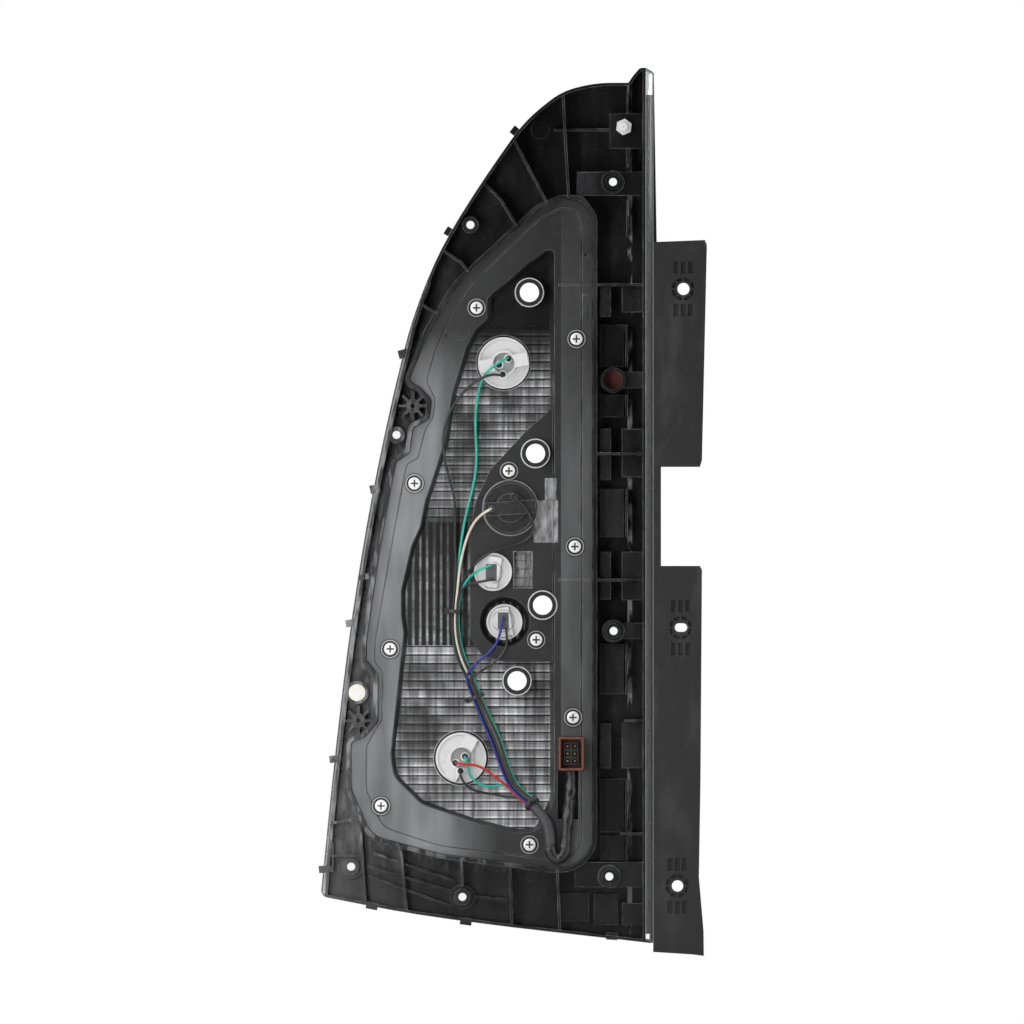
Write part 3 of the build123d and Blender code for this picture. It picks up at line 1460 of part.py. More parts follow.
def harness_points(name, first_stop):
    """Points of one wire along the harness, from a stop to the mouth of the sleeve."""
    radius, angle = harness_slots[name]
    side = radius * cos(radians(angle))
    deep = radius * sin(radians(angle))
    mouth = Vector(*sleeve_route[0])
    axis = (Vector(*sleeve_route[1]) - mouth).normalized()
    points = []
    for n in range(first_stop, len(harness_route)):
        x, y, z, spread = harness_route[n]
        before = harness_route[max(n - 1, 0)]
        after = harness_route[min(n + 1, len(harness_route) - 1)]
        run = hypot(after[0] - before[0], after[2] - before[2])
        across = ((before[2] - after[2]) / run, (after[0] - before[0]) / run)
        points.append((x + spread * side * across[0], y + spread * deep, z + spread * side * across[1]))
    across = Vector(-axis.Z, 0, axis.X).normalized()
    down = across.cross(axis)
    if down.Y < 0:
        down = down * -1
    end = mouth + across * side + down * deep
    points.append(tuple(end - axis * mouth_run))
    points.append(tuple(end))
    return points


cord_routes = {"grey_sleeve": (sleeve_route, sleeve_r), "taped_bundle": (lead_route, lead_r)}
for name, (start, first_stop) in wire_starts.items():
    cord_routes[name] = (start + harness_points(name, first_stop), wire_r)

for name, (route, radius) in cord_routes.items():
    with BuildPart() as cord:
        with BuildLine() as line:
            cord_path(route)
        with BuildSketch(Plane(origin=route[0], z_dir=Vector(*route[1]) - Vector(*route[0]))):
            Circle(radius)
        sweep(path=line.line)
    finish(cord, name)
    print(name, "radius", radius, "volume", round(cord.part.volume, 1),
          "section x length", round(pi * radius * radius * line.wires()[0].length, 1))

# Ties round the harness: two on its way and one at the mouth of the sleeve
mouth = Vector(*sleeve_route[0])
mouth_axis = (Vector(*sleeve_route[1]) - mouth).normalized()
tie_r = harness_diameter / 2 + tie_gap
ties = [(mouth - mouth_axis * (tie_width / 2 + tie_thickness), mouth_axis)]
for stop in tie_stops:
    before = harness_route[stop - 1]
    after = harness_route[stop + 1]
    ties.append((Vector(*harness_route[stop][:3]), Vector(after[0] - before[0], 0, after[2] - before[2]).normalized()))
with BuildPart() as cable_ties:
    for middle, axis in ties:
        with BuildSketch(Plane(origin=middle - axis * (tie_width / 2), z_dir=axis)):
            Circle(tie_r + tie_thickness)
            Circle(tie_r, mode=Mode.SUBTRACT)
        extrude(amount=tie_width)
finish(cable_ties, "cable_ties")
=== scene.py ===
import math
import json
import bpy
import bmesh
from mathutils import Matrix, Vector

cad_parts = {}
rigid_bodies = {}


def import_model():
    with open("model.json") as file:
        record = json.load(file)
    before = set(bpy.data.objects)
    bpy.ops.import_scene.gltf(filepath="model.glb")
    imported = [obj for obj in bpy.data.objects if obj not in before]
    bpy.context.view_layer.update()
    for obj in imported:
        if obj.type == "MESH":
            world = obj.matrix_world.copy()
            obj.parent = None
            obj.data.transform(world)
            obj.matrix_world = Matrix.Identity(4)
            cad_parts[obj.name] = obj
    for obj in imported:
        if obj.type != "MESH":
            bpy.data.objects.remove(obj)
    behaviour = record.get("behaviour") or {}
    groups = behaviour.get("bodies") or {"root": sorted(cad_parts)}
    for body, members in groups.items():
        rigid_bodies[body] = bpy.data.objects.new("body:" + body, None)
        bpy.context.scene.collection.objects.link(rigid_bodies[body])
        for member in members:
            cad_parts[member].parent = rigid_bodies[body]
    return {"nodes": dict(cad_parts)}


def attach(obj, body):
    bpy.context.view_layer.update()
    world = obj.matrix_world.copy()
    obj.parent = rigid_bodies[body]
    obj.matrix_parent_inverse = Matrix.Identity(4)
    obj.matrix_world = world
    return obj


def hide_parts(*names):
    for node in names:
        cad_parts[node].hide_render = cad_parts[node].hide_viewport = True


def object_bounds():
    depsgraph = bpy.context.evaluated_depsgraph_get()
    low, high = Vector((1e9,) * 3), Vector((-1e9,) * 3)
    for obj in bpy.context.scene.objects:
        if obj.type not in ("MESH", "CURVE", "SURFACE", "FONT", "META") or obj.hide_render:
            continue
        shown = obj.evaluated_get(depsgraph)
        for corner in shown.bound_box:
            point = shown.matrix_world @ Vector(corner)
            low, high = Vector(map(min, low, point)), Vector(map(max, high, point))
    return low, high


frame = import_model()
cad_low, cad_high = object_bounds()
nodes = frame["nodes"]

# %% [markdown]
# # A car tail light cluster, seen from the side that sits against the car
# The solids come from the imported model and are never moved. This file gives them their finishes, lays the
# wires as soft cords, and makes the cable ties, the grey sleeve and the taped lead as such things really
# look. Sizes of the lamp are in millimetres until they reach Blender. Those of the studio are in metres.

# %% Units
MM = 0.001
PER_METRE = 1000.0


def mm(*numbers):
    """A point given in millimetres, as Blender's metres."""
    return tuple(number * MM for number in numbers)


print("nodes", len(nodes), "box", [round(v, 4) for v in (*cad_low, *cad_high)])

# %% [markdown]
# ## The camera
# The photo looks straight at the mounting side through a long lens, so nothing shows in perspective and the
# four through tunnels are seen as full circles. A parallel camera gives the same picture. One pixel of the
# photo is 0.69 mm of the lamp, so the whole frame is 1024 of them wide.

# %% Camera, straight on along +Y
PIXEL = 0.69
FRAME_PIXELS = 1024
VIEW_MIDDLE = (-118.3, -153.9)
CAMERA_Y = -2.2
CAMERA_REACH = 20.0

camera_data = bpy.data.cameras.new("studio_camera")
camera_data.type = "ORTHO"
camera_data.ortho_scale = PIXEL * FRAME_PIXELS * MM
camera_data.clip_end = CAMERA_REACH
camera = bpy.data.objects.new("studio_camera", camera_data)
camera.location = (VIEW_MIDDLE[0] * MM, CAMERA_Y, VIEW_MIDDLE[1] * MM)
camera.rotation_euler = (math.radians(90), 0, 0)
bpy.context.scene.collection.objects.link(camera)
bpy.context.scene.camera = camera
bpy.context.scene.view_settings.view_transform = "Standard"
print("view is", round(camera_data.ortho_scale, 4), "m wide")

# %% [markdown]
# ## Material sums
# A material is a small sum over the surface: some noise, some stripes, a mask. Nodes can be wired by hand,
# but the sum is then hard to read. Here one small class wraps an output of a node, so that + - * and /
# write the maths nodes, and one method adds any other node.


# %% A value in a material that can be added up like a number
class Value:
    def __init__(self, tree, socket):
        self.tree = tree
        self.socket = socket

    def sum_with(self, operation, left, right):
        node = self.tree.nodes.new("ShaderNodeMath")
        node.operation = operation
        for slot, number in enumerate((left, right)):
            if isinstance(number, Value):
                self.tree.links.new(number.socket, node.inputs[slot])
            else:
                node.inputs[slot].default_value = number
        return Value(self.tree, node.outputs[0])

    def __add__(self, other):
        return self.sum_with("ADD", self, other)

    def __sub__(self, other):
        return self.sum_with("SUBTRACT", self, other)

    def __rsub__(self, other):
        return self.sum_with("SUBTRACT", other, self)

    def __mul__(self, other):
        return self.sum_with("MULTIPLY", self, other)

    def __truediv__(self, other):
        return self.sum_with("DIVIDE", self, other)

    def above(self, level):
        return self.sum_with("GREATER_THAN", self, level)

    def below(self, level):
        return self.sum_with("LESS_THAN", self, level)

    def between(self, low, high):
        return self.above(low) * self.below(high)

    def power(self, exponent):
        return self.sum_with("POWER", self, exponent)

    def floor(self):
        return self.sum_with("FLOOR", self, 0.0)

    def fraction(self):
        return self.sum_with("FRACT", self, 0.0)

    def larger(self, other):
        return self.sum_with("MAXIMUM", self, other)

    def smaller(self, other):
        return self.sum_with("MINIMUM", self, other)

    def clipped(self):
        return self.sum_with("MINIMUM", self.sum_with("MAXIMUM", self, 0.0), 1.0)

    def ramp(self, start, gain):
        """0 up to a start, then rising by the gain until it is 1."""
        return ((self - start) * gain).clipped()


# %% A material and the nodes that it is made of
class Finish:
    def __init__(self, name):
        self.material = bpy.data.materials.new(name)
        self.material.use_nodes = True
        self.tree = self.material.node_tree
        self.shader = self.tree.nodes["Principled BSDF"]
        self.output = self.tree.nodes["Material Output"]
        place = self.tree.nodes.new("ShaderNodeTexCoord")
        self.place = Value(self.tree, place.outputs["Object"])
        self.uv = Value(self.tree, place.outputs["UV"])

    def node(self, kind, settings=None, inputs=None, output=0):
        """Any node: its settings first, then its inputs, then the output that is wanted."""
        node = self.tree.nodes.new(kind)
        for setting, value in (settings or {}).items():
            setattr(node, setting, value)
        for socket, value in (inputs or {}).items():
            if isinstance(value, Value):
                self.tree.links.new(value.socket, node.inputs[socket])
            else:
                node.inputs[socket].default_value = value
        return Value(self.tree, node.outputs[output])

    def parts_of(self, vector):
        """The x, y and z of a vector, in millimetres."""
        node = self.tree.nodes.new("ShaderNodeSeparateXYZ")
        self.tree.links.new(vector.socket, node.inputs[0])
        return [Value(self.tree, node.outputs[n]) * PER_METRE for n in range(3)]

    def noise(self, size_mm, detail=2.0, rough=0.5, stretch=(1, 1, 1)):
        """Soft cloudy noise whose patches are about size_mm wide."""
        spread = [PER_METRE / size_mm / s for s in stretch]
        mapped = self.node("ShaderNodeMapping", None, {"Vector": self.place, "Scale": spread})
        return self.node("ShaderNodeTexNoise", None,
                         {"Vector": mapped, "Scale": 1.0, "Detail": detail, "Roughness": rough})

    def cells(self, vector):
        """A random number from 0 to 1 for each value of a vector."""
        return self.node("ShaderNodeTexWhiteNoise", {"noise_dimensions": "3D"}, {"Vector": vector})

    def vector(self, x, y, z):
        return self.node("ShaderNodeCombineXYZ", None, {0: x, 1: y, 2: z})

    def shade(self, first, second, share):
        """A colour between two colours."""
        node = self.tree.nodes.new("ShaderNodeMix")
        node.data_type = "RGBA"
        for socket, value in ((node.inputs[6], first), (node.inputs[7], second), (node.inputs[0], share)):
            if isinstance(value, Value):
                self.tree.links.new(value.socket, socket)
            elif isinstance(value, (int, float)):
                socket.default_value = value
            else:
                socket.default_value = (*value, 1.0)
        return Value(self.tree, node.outputs[2])

    def bump(self, height, depth_mm, strength=1.0, normal=None):
        inputs = {"Height": height, "Distance": depth_mm * MM, "Strength": strength}
        if normal is not None:
            inputs["Normal"] = normal
        return self.node("ShaderNodeBump", None, inputs)

    def soft_edges(self, radius_mm):
        """Normals that round off every edge a little, as a mould does."""
        return self.node("ShaderNodeBevel", {"samples": 4}, {"Radius": radius_mm * MM})

    def edges(self, radius_mm, gain):
        """1 on edges and 0 on flat faces, from how far the rounded normal leans away from the face's own."""
        own = self.node("ShaderNodeNewGeometry", None, None, "Normal")
        lean = self.node("ShaderNodeVectorMath", {"operation": "DOT_PRODUCT"},
                         {0: self.soft_edges(radius_mm), 1: own}, "Value")
        return ((1.0 - lean) * gain).clipped()

    def set(self, **inputs):
        """Sets or links the shader's sockets by their names, with _ for a space."""
        for name, value in inputs.items():
            socket = self.shader.inputs[name.replace("_", " ")]
            if isinstance(value, Value):
                self.tree.links.new(value.socket, socket)
            elif isinstance(value, (int, float)):
                socket.default_value = value
            else:
                socket.default_value = (*value, 1.0) if len(value) == 3 else value
        return self


def nearest(x, z, places):
    """Distance in mm from the nearest of some places."""
    best = None
    for place_x, place_z in places:
        across, up = x - place_x, z - place_z
        reach = (across * across + up * up).power(0.5)
        best = reach if best is None else best.smaller(reach)
    return best


def any_box(x, z, boxes):
    """1 inside any of some boxes, each given as its left, right, low and high side in mm."""
    best = None
    for left, right, low, high in boxes:
        inside = x.between(left, right) * z.between(low, high)
        best = inside if best is None else best.larger(inside)
    return best


# Patterns are counted from a place to the left of and below the whole lamp, so that no place is negative.
X_START = 400.0
Z_START = 800.0


def swell(place, start, pitch):
    """A row of rounded swellings, one for each pitch along a coordinate."""
    off = ((place + start) / pitch).fraction() - 0.5
    return 0.25 - off * off


def wear(node_name, finish):
    """Gives a CAD node one finish in all its slots."""
    mesh = nodes[node_name].data
    mesh.materials.clear()
    mesh.materials.append(finish.material)


# %% [markdown]
# ## The wires
# Eleven thin wires leave five bulb holders and gather in one loose harness, which runs down to a grey sleeve
# and back up as a taped lead to the connector. Each wire is one smooth curve through the same points as its
# solid. The places in the harness come from one list: each wire keeps its
# own place round the middle line.

# %% Route of the harness, and where each wire lies in it
sleeve_route = [(-103.2, 7.0, -356.7), (-96.7, 4.0, -364.1), (-92.0, 3.7, -373.7), (-92.0, 3.7, -383.0)]
lead_route = [
    (-92.0, 3.7, -383.0), (-92.0, 3.7, -393.0), (-82.0, 3.7, -393.0), (-81.0, 3.7, -377.5),
    (-79.4, 3.7, -361.5), (-77.5, 11.5, -345.0), (-77.5, 11.5, -332.2),
]
harness_route = [
    (-155.6, 15.4, -193.0, 1.15), (-157.2, 15.4, -211.0, 1.0), (-158.4, 15.5, -222.5, 1.0),
    (-158.6, 15.6, -238.5, 1.2), (-155.2, 15.6, -254.0, 1.25), (-148.4, 15.5, -268.5, 1.1),
    (-143.0, 15.4, -281.5, 1.0), (-136.3, 15.4, -297.4, 1.2), (-129.4, 15.2, -312.5, 1.25),
    (-124.6, 14.6, -327.5, 1.1), (-119.2, 12.9, -341.3, 1.0), (-111.8, 10.2, -349.2, 1.0),
]
harness_slots = {
    "upper_green_wire": (1.1, 90.0), "upper_black_wire": (1.1, 210.0), "turn_cream_wire": (1.1, 330.0),
    "turn_black_wire": (3.0, 45.0), "marker_green_wire": (3.0, 0.0), "marker_black_wire": (3.0, 315.0),
    "reverse_blue_wire": (3.0, 225.0), "reverse_black_wire": (3.0, 270.0), "lower_red_wire": (3.0, 180.0),
    "lower_green_wire": (3.0, 90.0), "lower_black_wire": (3.0, 135.0),
}
MOUTH_RUN = 5.0

# %% Start of each wire at its holder, the stop where it joins the harness, and its real length in mm
wire_starts = {
    "upper_green_wire": ([
        (-121.3, 10.7, -47.6), (-121.3, 8.0, -47.6), (-123.4, 6.2, -48.7), (-128.9, 5.8, -51.6),
        (-135.4, 7.0, -56.8), (-139.8, 9.8, -64.0), (-142.2, 12.6, -74.0), (-143.6, 14.4, -87.0),
        (-143.4, 15.0, -100.7), (-142.7, 15.0, -113.4), (-143.4, 15.0, -127.7), (-146.4, 15.0, -142.0),
        (-150.4, 15.2, -157.0), (-153.4, 15.4, -174.0)], 0, 339.0),
    "upper_black_wire": ([
        (-124.4, 10.7, -59.8), (-124.4, 7.9, -59.8), (-126.6, 5.9, -59.4), (-131.6, 4.9, -58.9),
        (-138.6, 4.9, -61.0), (-146.6, 6.2, -65.8), (-154.0, 6.8, -73.6), (-160.6, 6.6, -83.0),
        (-164.6, 6.4, -94.2), (-166.0, 6.4, -105.6), (-164.8, 7.0, -118.2), (-161.6, 9.6, -130.4),
        (-158.0, 13.0, -143.4), (-157.4, 14.8, -158.4), (-157.9, 15.1, -175.4)], 0, 341.0),
    "turn_cream_wire": ([
        (-132.6, 2.4, -151.6), (-132.6, -0.2, -151.6), (-134.4, -1.8, -152.6), (-139.4, 0.6, -155.6),
        (-144.2, 4.6, -160.6), (-148.2, 9.2, -168.2), (-151.6, 12.6, -178.4)], 0, 233.0),
    "turn_black_wire": ([
        (-117.0, 2.4, -143.4), (-117.0, -0.2, -143.4), (-115.2, -2.0, -144.6), (-110.2, -1.8, -149.8),
        (-105.2, 0.8, -157.6), (-102.9, 5.0, -165.4), (-106.2, 8.4, -172.0), (-114.4, 9.2, -176.4),
        (-124.0, 7.0, -178.6), (-133.4, 3.4, -181.6), (-141.8, 4.8, -187.6), (-148.2, 10.4, -194.6),
        (-152.6, 14.6, -202.4)], 1, 268.0),
    "marker_green_wire": ([
        (-132.6, 3.4, -190.6), (-132.6, 0.8, -190.6), (-134.4, -0.9, -191.2), (-139.4, -0.3, -193.2),
        (-145.2, 3.6, -196.6), (-150.2, 9.0, -201.8)], 1, 197.0),
    "marker_black_wire": ([
        (-131.4, 3.4, -200.4), (-131.4, 0.8, -200.4), (-133.3, -0.9, -200.8), (-138.8, -0.2, -201.8),
        (-145.2, 3.2, -203.0), (-151.2, 7.8, -205.4)], 1, 193.0),
    "reverse_blue_wire": ([
        (-124.5, 11.4, -226.3), (-124.5, 9.0, -226.3), (-124.9, 7.2, -228.2), (-125.7, 7.0, -233.8),
        (-127.8, 8.2, -242.8), (-133.2, 9.6, -250.4), (-140.6, 9.6, -256.0),
        (-147.2, 9.8, -261.8)], 5, 157.0),
    "reverse_black_wire": ([
        (-122.5, 11.4, -234.6), (-122.5, 9.0, -234.6), (-122.3, 7.3, -236.4), (-121.6, 7.1, -241.6),
        (-122.8, 7.9, -249.4), (-128.2, 9.2, -256.0), (-135.2, 9.6, -261.0),
        (-142.2, 9.0, -264.9)], 5, 150.0),
    "lower_red_wire": ([
        (-156.7, 10.7, -327.0), (-156.7, 8.0, -327.0), (-155.2, 5.9, -327.3), (-150.4, 4.8, -328.0),
        (-143.6, 5.4, -328.4), (-136.8, 7.2, -331.2), (-130.4, 9.8, -336.4)], 10, 67.5),
    "lower_green_wire": ([
        (-150.8, 10.7, -323.0), (-150.8, 8.6, -323.0), (-150.2, 7.4, -324.8), (-148.9, 7.8, -329.8),
        (-147.2, 9.8, -336.2), (-142.0, 12.2, -341.4), (-134.4, 14.2, -343.8)], 10, 70.0),
    "lower_black_wire": ([
        (-154.6, 10.7, -333.0), (-154.6, 8.4, -333.0), (-154.0, 6.9, -334.8), (-152.2, 7.6, -339.8),
        (-147.4, 11.0, -344.8), (-139.2, 15.0, -347.6), (-129.8, 16.0, -348.6),
        (-121.4, 14.6, -350.8)], 11, 65.5),
}
WIRE_D = 1.8


def harness_points(name, first_stop):
    """Points of one wire along the harness, from a stop to the mouth of the sleeve."""
    radius, angle = harness_slots[name]
    side = radius * math.cos(math.radians(angle))
    deep = radius * math.sin(math.radians(angle))
    mouth = Vector(sleeve_route[0])
    axis = (Vector(sleeve_route[1]) - mouth).normalized()
    points = []
    for stop in range(first_stop, len(harness_route)):
        x, y, z, spread = harness_route[stop]
        before = harness_route[max(stop - 1, 0)]
        after = harness_route[min(stop + 1, len(harness_route) - 1)]
        run = math.hypot(after[0] - before[0], after[2] - before[2])
        across = ((before[2] - after[2]) / run, (after[0] - before[0]) / run)
        points.append((x + spread * side * across[0], y + spread * deep, z + spread * side * across[1]))
    across = Vector((-axis.z, 0, axis.x)).normalized()
    down = across.cross(axis)
    if down.y < 0:
        down = -down
    end = mouth + across * side + down * deep
    points.append(tuple(end - axis * MOUTH_RUN))
    points.append(tuple(end))
    return points


# %% One soft curve for each wire
def soft_line(name, route):
    """A smooth curve that takes the route's points as its control points."""
    curve = bpy.data.curves.new(name, "CURVE")
    curve.dimensions = "3D"
    spline = curve.splines.new("NURBS")
    spline.points.add(len(route) - 1)
    for point, place in zip(spline.points, route):
        point.co = (*mm(*place), 1.0)
    spline.order_u = 3
    spline.use_endpoint_u = True
    curve.resolution_u = 10
    return curve


def lay_wire(name, start, first_stop, length):
    route = start + harness_points(name, first_stop)
    curve = soft_line(name + "_cord", route)
    curve.bevel_depth = WIRE_D / 2 * MM
    curve.bevel_resolution = 3
    curve.use_fill_caps = True
    wire = bpy.data.objects.new(name + "_cord", curve)
    bpy.context.scene.collection.objects.link(wire)
    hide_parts(name)
    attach(wire, "root")
    "wire_" + name.split("_")[1]
    mm(*route[0])
    length * MM
    return wire


wires = {name: lay_wire(name, *facts) for name, facts in wire_starts.items()}
print("wires", len(wires))

# %% [markdown]
# ## The sleeve and the taped lead
# The sleeve is a soft grey hose that has sagged a little, and the lead is wound with black tape, each turn
# lapping the last, so its outline steps slightly. Both are rings of points set square to a smooth line and
# joined by faces, because a plain curve can't change its thickness round itself.


# %% A tube of rings whose radius may change along and round it
def line_points(route):
    """The points of a route's smooth curve."""
    bare = bpy.data.objects.new("bare_line", soft_line("bare_line", route))
    mesh = bpy.data.meshes.new_from_object(bare)
    points = [v.co.copy() for v in mesh.vertices]
    bpy.data.objects.remove(bare)
    return points


def even_points(points, step):
    """The same line with points about a step apart."""
    runs = [(b - a).length for a, b in zip(points, points[1:])]
    count = max(2, int(sum(runs) / step))
    spaced = []
    for n in range(count + 1):
        left = sum(runs) * n / count
        for a, b, run in zip(points, points[1:], runs):
            if left <= run + 1e-9:
                spaced.append(a.lerp(b, min(1.0, left / max(run, 1e-9))))
                break
            left -= run
    return spaced


# The tube's own map: once round is 0 to 1, and this many of its units make a metre along.
MAP_PER_METRE = 100


def tube_of_rings(name, route, radius_at, around=32, step=0.0007):
    """A closed tube round a route; radius_at(distance along, angle) is in metres."""
    centres = even_points(line_points(route), step)
    mesh = bpy.data.meshes.new(name)
    build = bmesh.new()
    uv = build.loops.layers.uv.new("UVMap")
    rings = []
    side = Vector((0, 1, 0))
    along = 0.0
    for n, centre in enumerate(centres):
        ahead = centres[min(n + 1, len(centres) - 1)] - centres[max(n - 1, 0)]
        ahead.normalize()
        side = (side - ahead * side.dot(ahead)).normalized()
        up = ahead.cross(side)
        if n:
            along += (centre - centres[n - 1]).length
        ring = []
        for k in range(around):
            angle = 2 * math.pi * k / around
            out = side * math.cos(angle) + up * math.sin(angle)
            ring.append(build.verts.new(centre + out * radius_at(along, angle)))
        rings.append((ring, along))
    for (ring, far), (following, further) in zip(rings, rings[1:]):
        for k in range(around):
            after = (k + 1) % around
            face = build.faces.new((ring[k], ring[after], following[after], following[k]))
            face.smooth = True
            for loop, (u, v) in zip(face.loops, ((k, far), (k + 1, far), (k + 1, further), (k, further))):
                loop[uv].uv = (u / around, v * MAP_PER_METRE)
    build.faces.new(list(reversed(rings[0][0])))
    build.faces.new(rings[-1][0])
    bmesh.ops.recalc_face_normals(build, faces=build.faces)
    build.to_mesh(mesh)
    build.free()
    tube = bpy.data.objects.new(name, mesh)
    bpy.context.scene.collection.objects.link(tube)
    return tube, centres


# %% The grey sleeve, slightly flattened, with soft rings
SLEEVE_R = 4.0
SLEEVE_RING_PITCH = 0.0016
SLEEVE_RING_HEIGHT = 0.06
SLEEVE_DENT = 0.18
SLEEVE_INSET = 0.2


def sleeve_radius(along, angle):
    rings = SLEEVE_RING_HEIGHT * math.sin(along * 2 * math.pi / SLEEVE_RING_PITCH)
    dent = SLEEVE_DENT * math.sin(along * 190 + 1.0) * math.cos(2 * angle + along * 60)
    return (SLEEVE_R - SLEEVE_INSET + rings + dent) * MM


sleeve, sleeve_line = tube_of_rings("sleeve", sleeve_route, sleeve_radius, step=0.0004)
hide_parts("grey_sleeve")
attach(sleeve, "root")

# %% The lead, wound with lapped tape
LEAD_R = 4.35
LEAD_INSET = 0.45
TAPE_PITCH = 0.0085
TAPE_LAP = 0.3


def lead_radius(along, angle):
    turn = (along / TAPE_PITCH + angle / (2 * math.pi)) % 1.0
    lap = TAPE_LAP * (1 - turn) ** 3
    crease = 0.14 * math.sin(3 * angle + along * 330) + 0.1 * math.sin(5 * angle - along * 610)
    return (LEAD_R - LEAD_INSET + lap + crease) * MM


lead, lead_line = tube_of_rings("taped_lead", lead_route, lead_radius)
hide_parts("taped_bundle")
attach(lead, "root")
mm(*lead_route[-1])
print("lead rings", len(lead_line), "sleeve rings", len(sleeve_line))

# %% [markdown]
# ## Cable ties
# A cable tie is a thin ribbed band with a square head, and its cut tail stands out of the head. The band
# starts as an open cylinder that gets a wall, the head as a cube with its edges rounded, and the tail as a
# thin box. The three are joined and moved to their place on the harness as one mesh.


# %% One tie, made round the origin's z axis and then turned to its place
def tidy_selection():
    for other in bpy.context.view_layer.objects:
        other.select_set(False)


def only(piece):
    tidy_selection()
    piece.select_set(True)
    bpy.context.view_layer.objects.active = piece
    return piece


def apply_all(piece):
    only(piece)
    for modifier in list(piece.modifiers):
        bpy.ops.object.modifier_apply(modifier=modifier.name)
    return piece


def round_edges(piece, width_mm, segments=2):
    bevel = piece.modifiers.new("edge", "BEVEL")
    bevel.width = width_mm * MM
    bevel.segments = segments
    bevel.limit_method = "ANGLE"
    bevel.angle_limit = math.radians(35)
    return apply_all(piece)


def settle(piece):
    """Puts a piece's place, turn and size into its mesh."""
    only(piece)
    bpy.ops.object.transform_apply(location=True, rotation=True, scale=True)
    return piece


def join(name, pieces):
    tidy_selection()
    for piece in pieces:
        piece.select_set(True)
    bpy.context.view_layer.objects.active = pieces[0]
    bpy.ops.object.join()
    pieces[0].name = name
    pieces[0].data.name = name
    return pieces[0]


TIE_R = 4.6
TIE_WALL = 1.0
TIE_WIDTH = 2.6
HEAD_OUT, HEAD_SIZE = 0.7, (2.6, 4.4, 3.8)
TAIL_OUT, TAIL_ALONG, TAIL_SIZE = 1.2, 3.0, (0.9, 3.4, 2.2)


def cable_tie(name, centre, axis, head_side):
    tidy_selection()
    bpy.ops.mesh.primitive_cylinder_add(vertices=56, radius=(TIE_R + TIE_WALL) * MM, depth=TIE_WIDTH * MM,
                                        end_fill_type="NOTHING")
    band = bpy.context.object
    wall = band.modifiers.new("wall", "SOLIDIFY")
    wall.thickness = TIE_WALL * MM
    wall.offset = -1
    apply_all(band)
    round_edges(band, 0.25)
    tidy_selection()
    bpy.ops.mesh.primitive_cube_add(size=1, location=mm(TIE_R + TIE_WALL + HEAD_OUT, 0, 0),
                                    scale=mm(*HEAD_SIZE))
    head = settle(bpy.context.object)
    round_edges(head, 0.45, 3)
    tidy_selection()
    bpy.ops.mesh.primitive_cube_add(size=1, location=mm(TIE_R + TIE_WALL + TAIL_OUT, TAIL_ALONG, 0),
                                    scale=mm(*TAIL_SIZE))
    tail = settle(bpy.context.object)
    round_edges(tail, 0.2)
    tie = join(name, [band, head, tail])
    z_axis = Vector(axis).normalized()
    x_axis = (Vector(head_side) - z_axis * Vector(head_side).dot(z_axis)).normalized()
    y_axis = z_axis.cross(x_axis)
    turn = Matrix((x_axis, y_axis, z_axis)).transposed().to_4x4()
    tie.matrix_world = Matrix.Translation(mm(*centre)) @ turn
    bpy.context.view_layer.update()
    settle(tie)
    for polygon in tie.data.polygons:
        polygon.use_smooth = True
    only(tie)
    bpy.ops.object.shade_smooth_by_angle(angle=math.radians(40))
    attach(tie, "root")
    return tie


# %% Three ties: two on the harness's way and one before the sleeve
tie_stops = [2, 6]
mouth = Vector(sleeve_route[0])
mouth_axis = (Vector(sleeve_route[1]) - mouth).normalized()
ties = [cable_tie("tie_mouth", mouth - mouth_axis * (TIE_WIDTH / 2 + TIE_WALL), mouth_axis, (0.2, -1, 0.6))]
for number, stop in enumerate(tie_stops):
    before, after = harness_route[stop - 1], harness_route[stop + 1]
    axis = (after[0] - before[0], 0, after[2] - before[2])
    ties.append(cable_tie(f"tie_{number + 1}", harness_route[stop][:3], axis, (-1, -0.5, 0)))
for tie in ties:
    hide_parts("cable_ties")
print("ties", len(ties))

# %% [markdown]
# ## Glossy black plastic of the frame
# The frame is moulded in glossy black plastic. Real gloss is never perfect: the surface has the slight
# waviness of its mould, dull breaths where the plastic flowed, and edges that are rounded by the mould's own
# wear. The colour is nearly black and the picture is made by reflections, so roughness and normals matter
# more than colour. Its edges have pale painted highlights in places, and its left side has long pale patches
# of painted reflection.

# %% Frame finish, with painted highlights along the corner of the right channel, a strip along x that lies deeper than its top
CHANNEL_CORNER = (-38.6, -35.4)
CHANNEL_TOP = 12.0
gloss = Finish("gloss_black")
gloss_x, gloss_y, gloss_z = gloss.parts_of(gloss.place)
flow = gloss.noise(26, 3, 0.55, (1, 1, 3.5))
breath = gloss.noise(7, 4, 0.6)
dust = gloss.noise(1.1, 2, 0.7)
haze = flow.ramp(0.45, 2.2)
gloss_colour = gloss.shade((0.008, 0.008, 0.0085), (0.045, 0.045, 0.048),
                           haze * 0.7 + dust.ramp(0.6, 1.5))
# Long pale patches of painted reflection on the left side.
painted_reflection_side = ((-195.0 - gloss_x - gloss_z * 0.22) / 14.0).clipped() * ((-45.0 - gloss_z) / 40.0).clipped()
painted_reflection_side = painted_reflection_side * ((gloss_z + 405.0) / 25.0).clipped()
rubbed_and_painted_reflection = gloss.noise(8, 2, 0.5, (0.8, 1, 2.4)).ramp(0.46, 6.0) * painted_reflection_side
gloss_colour = gloss.shade(gloss_colour, (0.25, 0.252, 0.26), rubbed_and_painted_reflection * 0.75)
# Painted highlights in the corner of the right channel.
painted_corner_highlight = gloss.noise(5, 2, 0.5, (1, 1, 3)).ramp(0.46, 7.0) * gloss_x.between(*CHANNEL_CORNER)
gloss_colour = gloss.shade(gloss_colour, (0.42, 0.42, 0.43), painted_corner_highlight * gloss_y.above(CHANNEL_TOP) * 0.8)
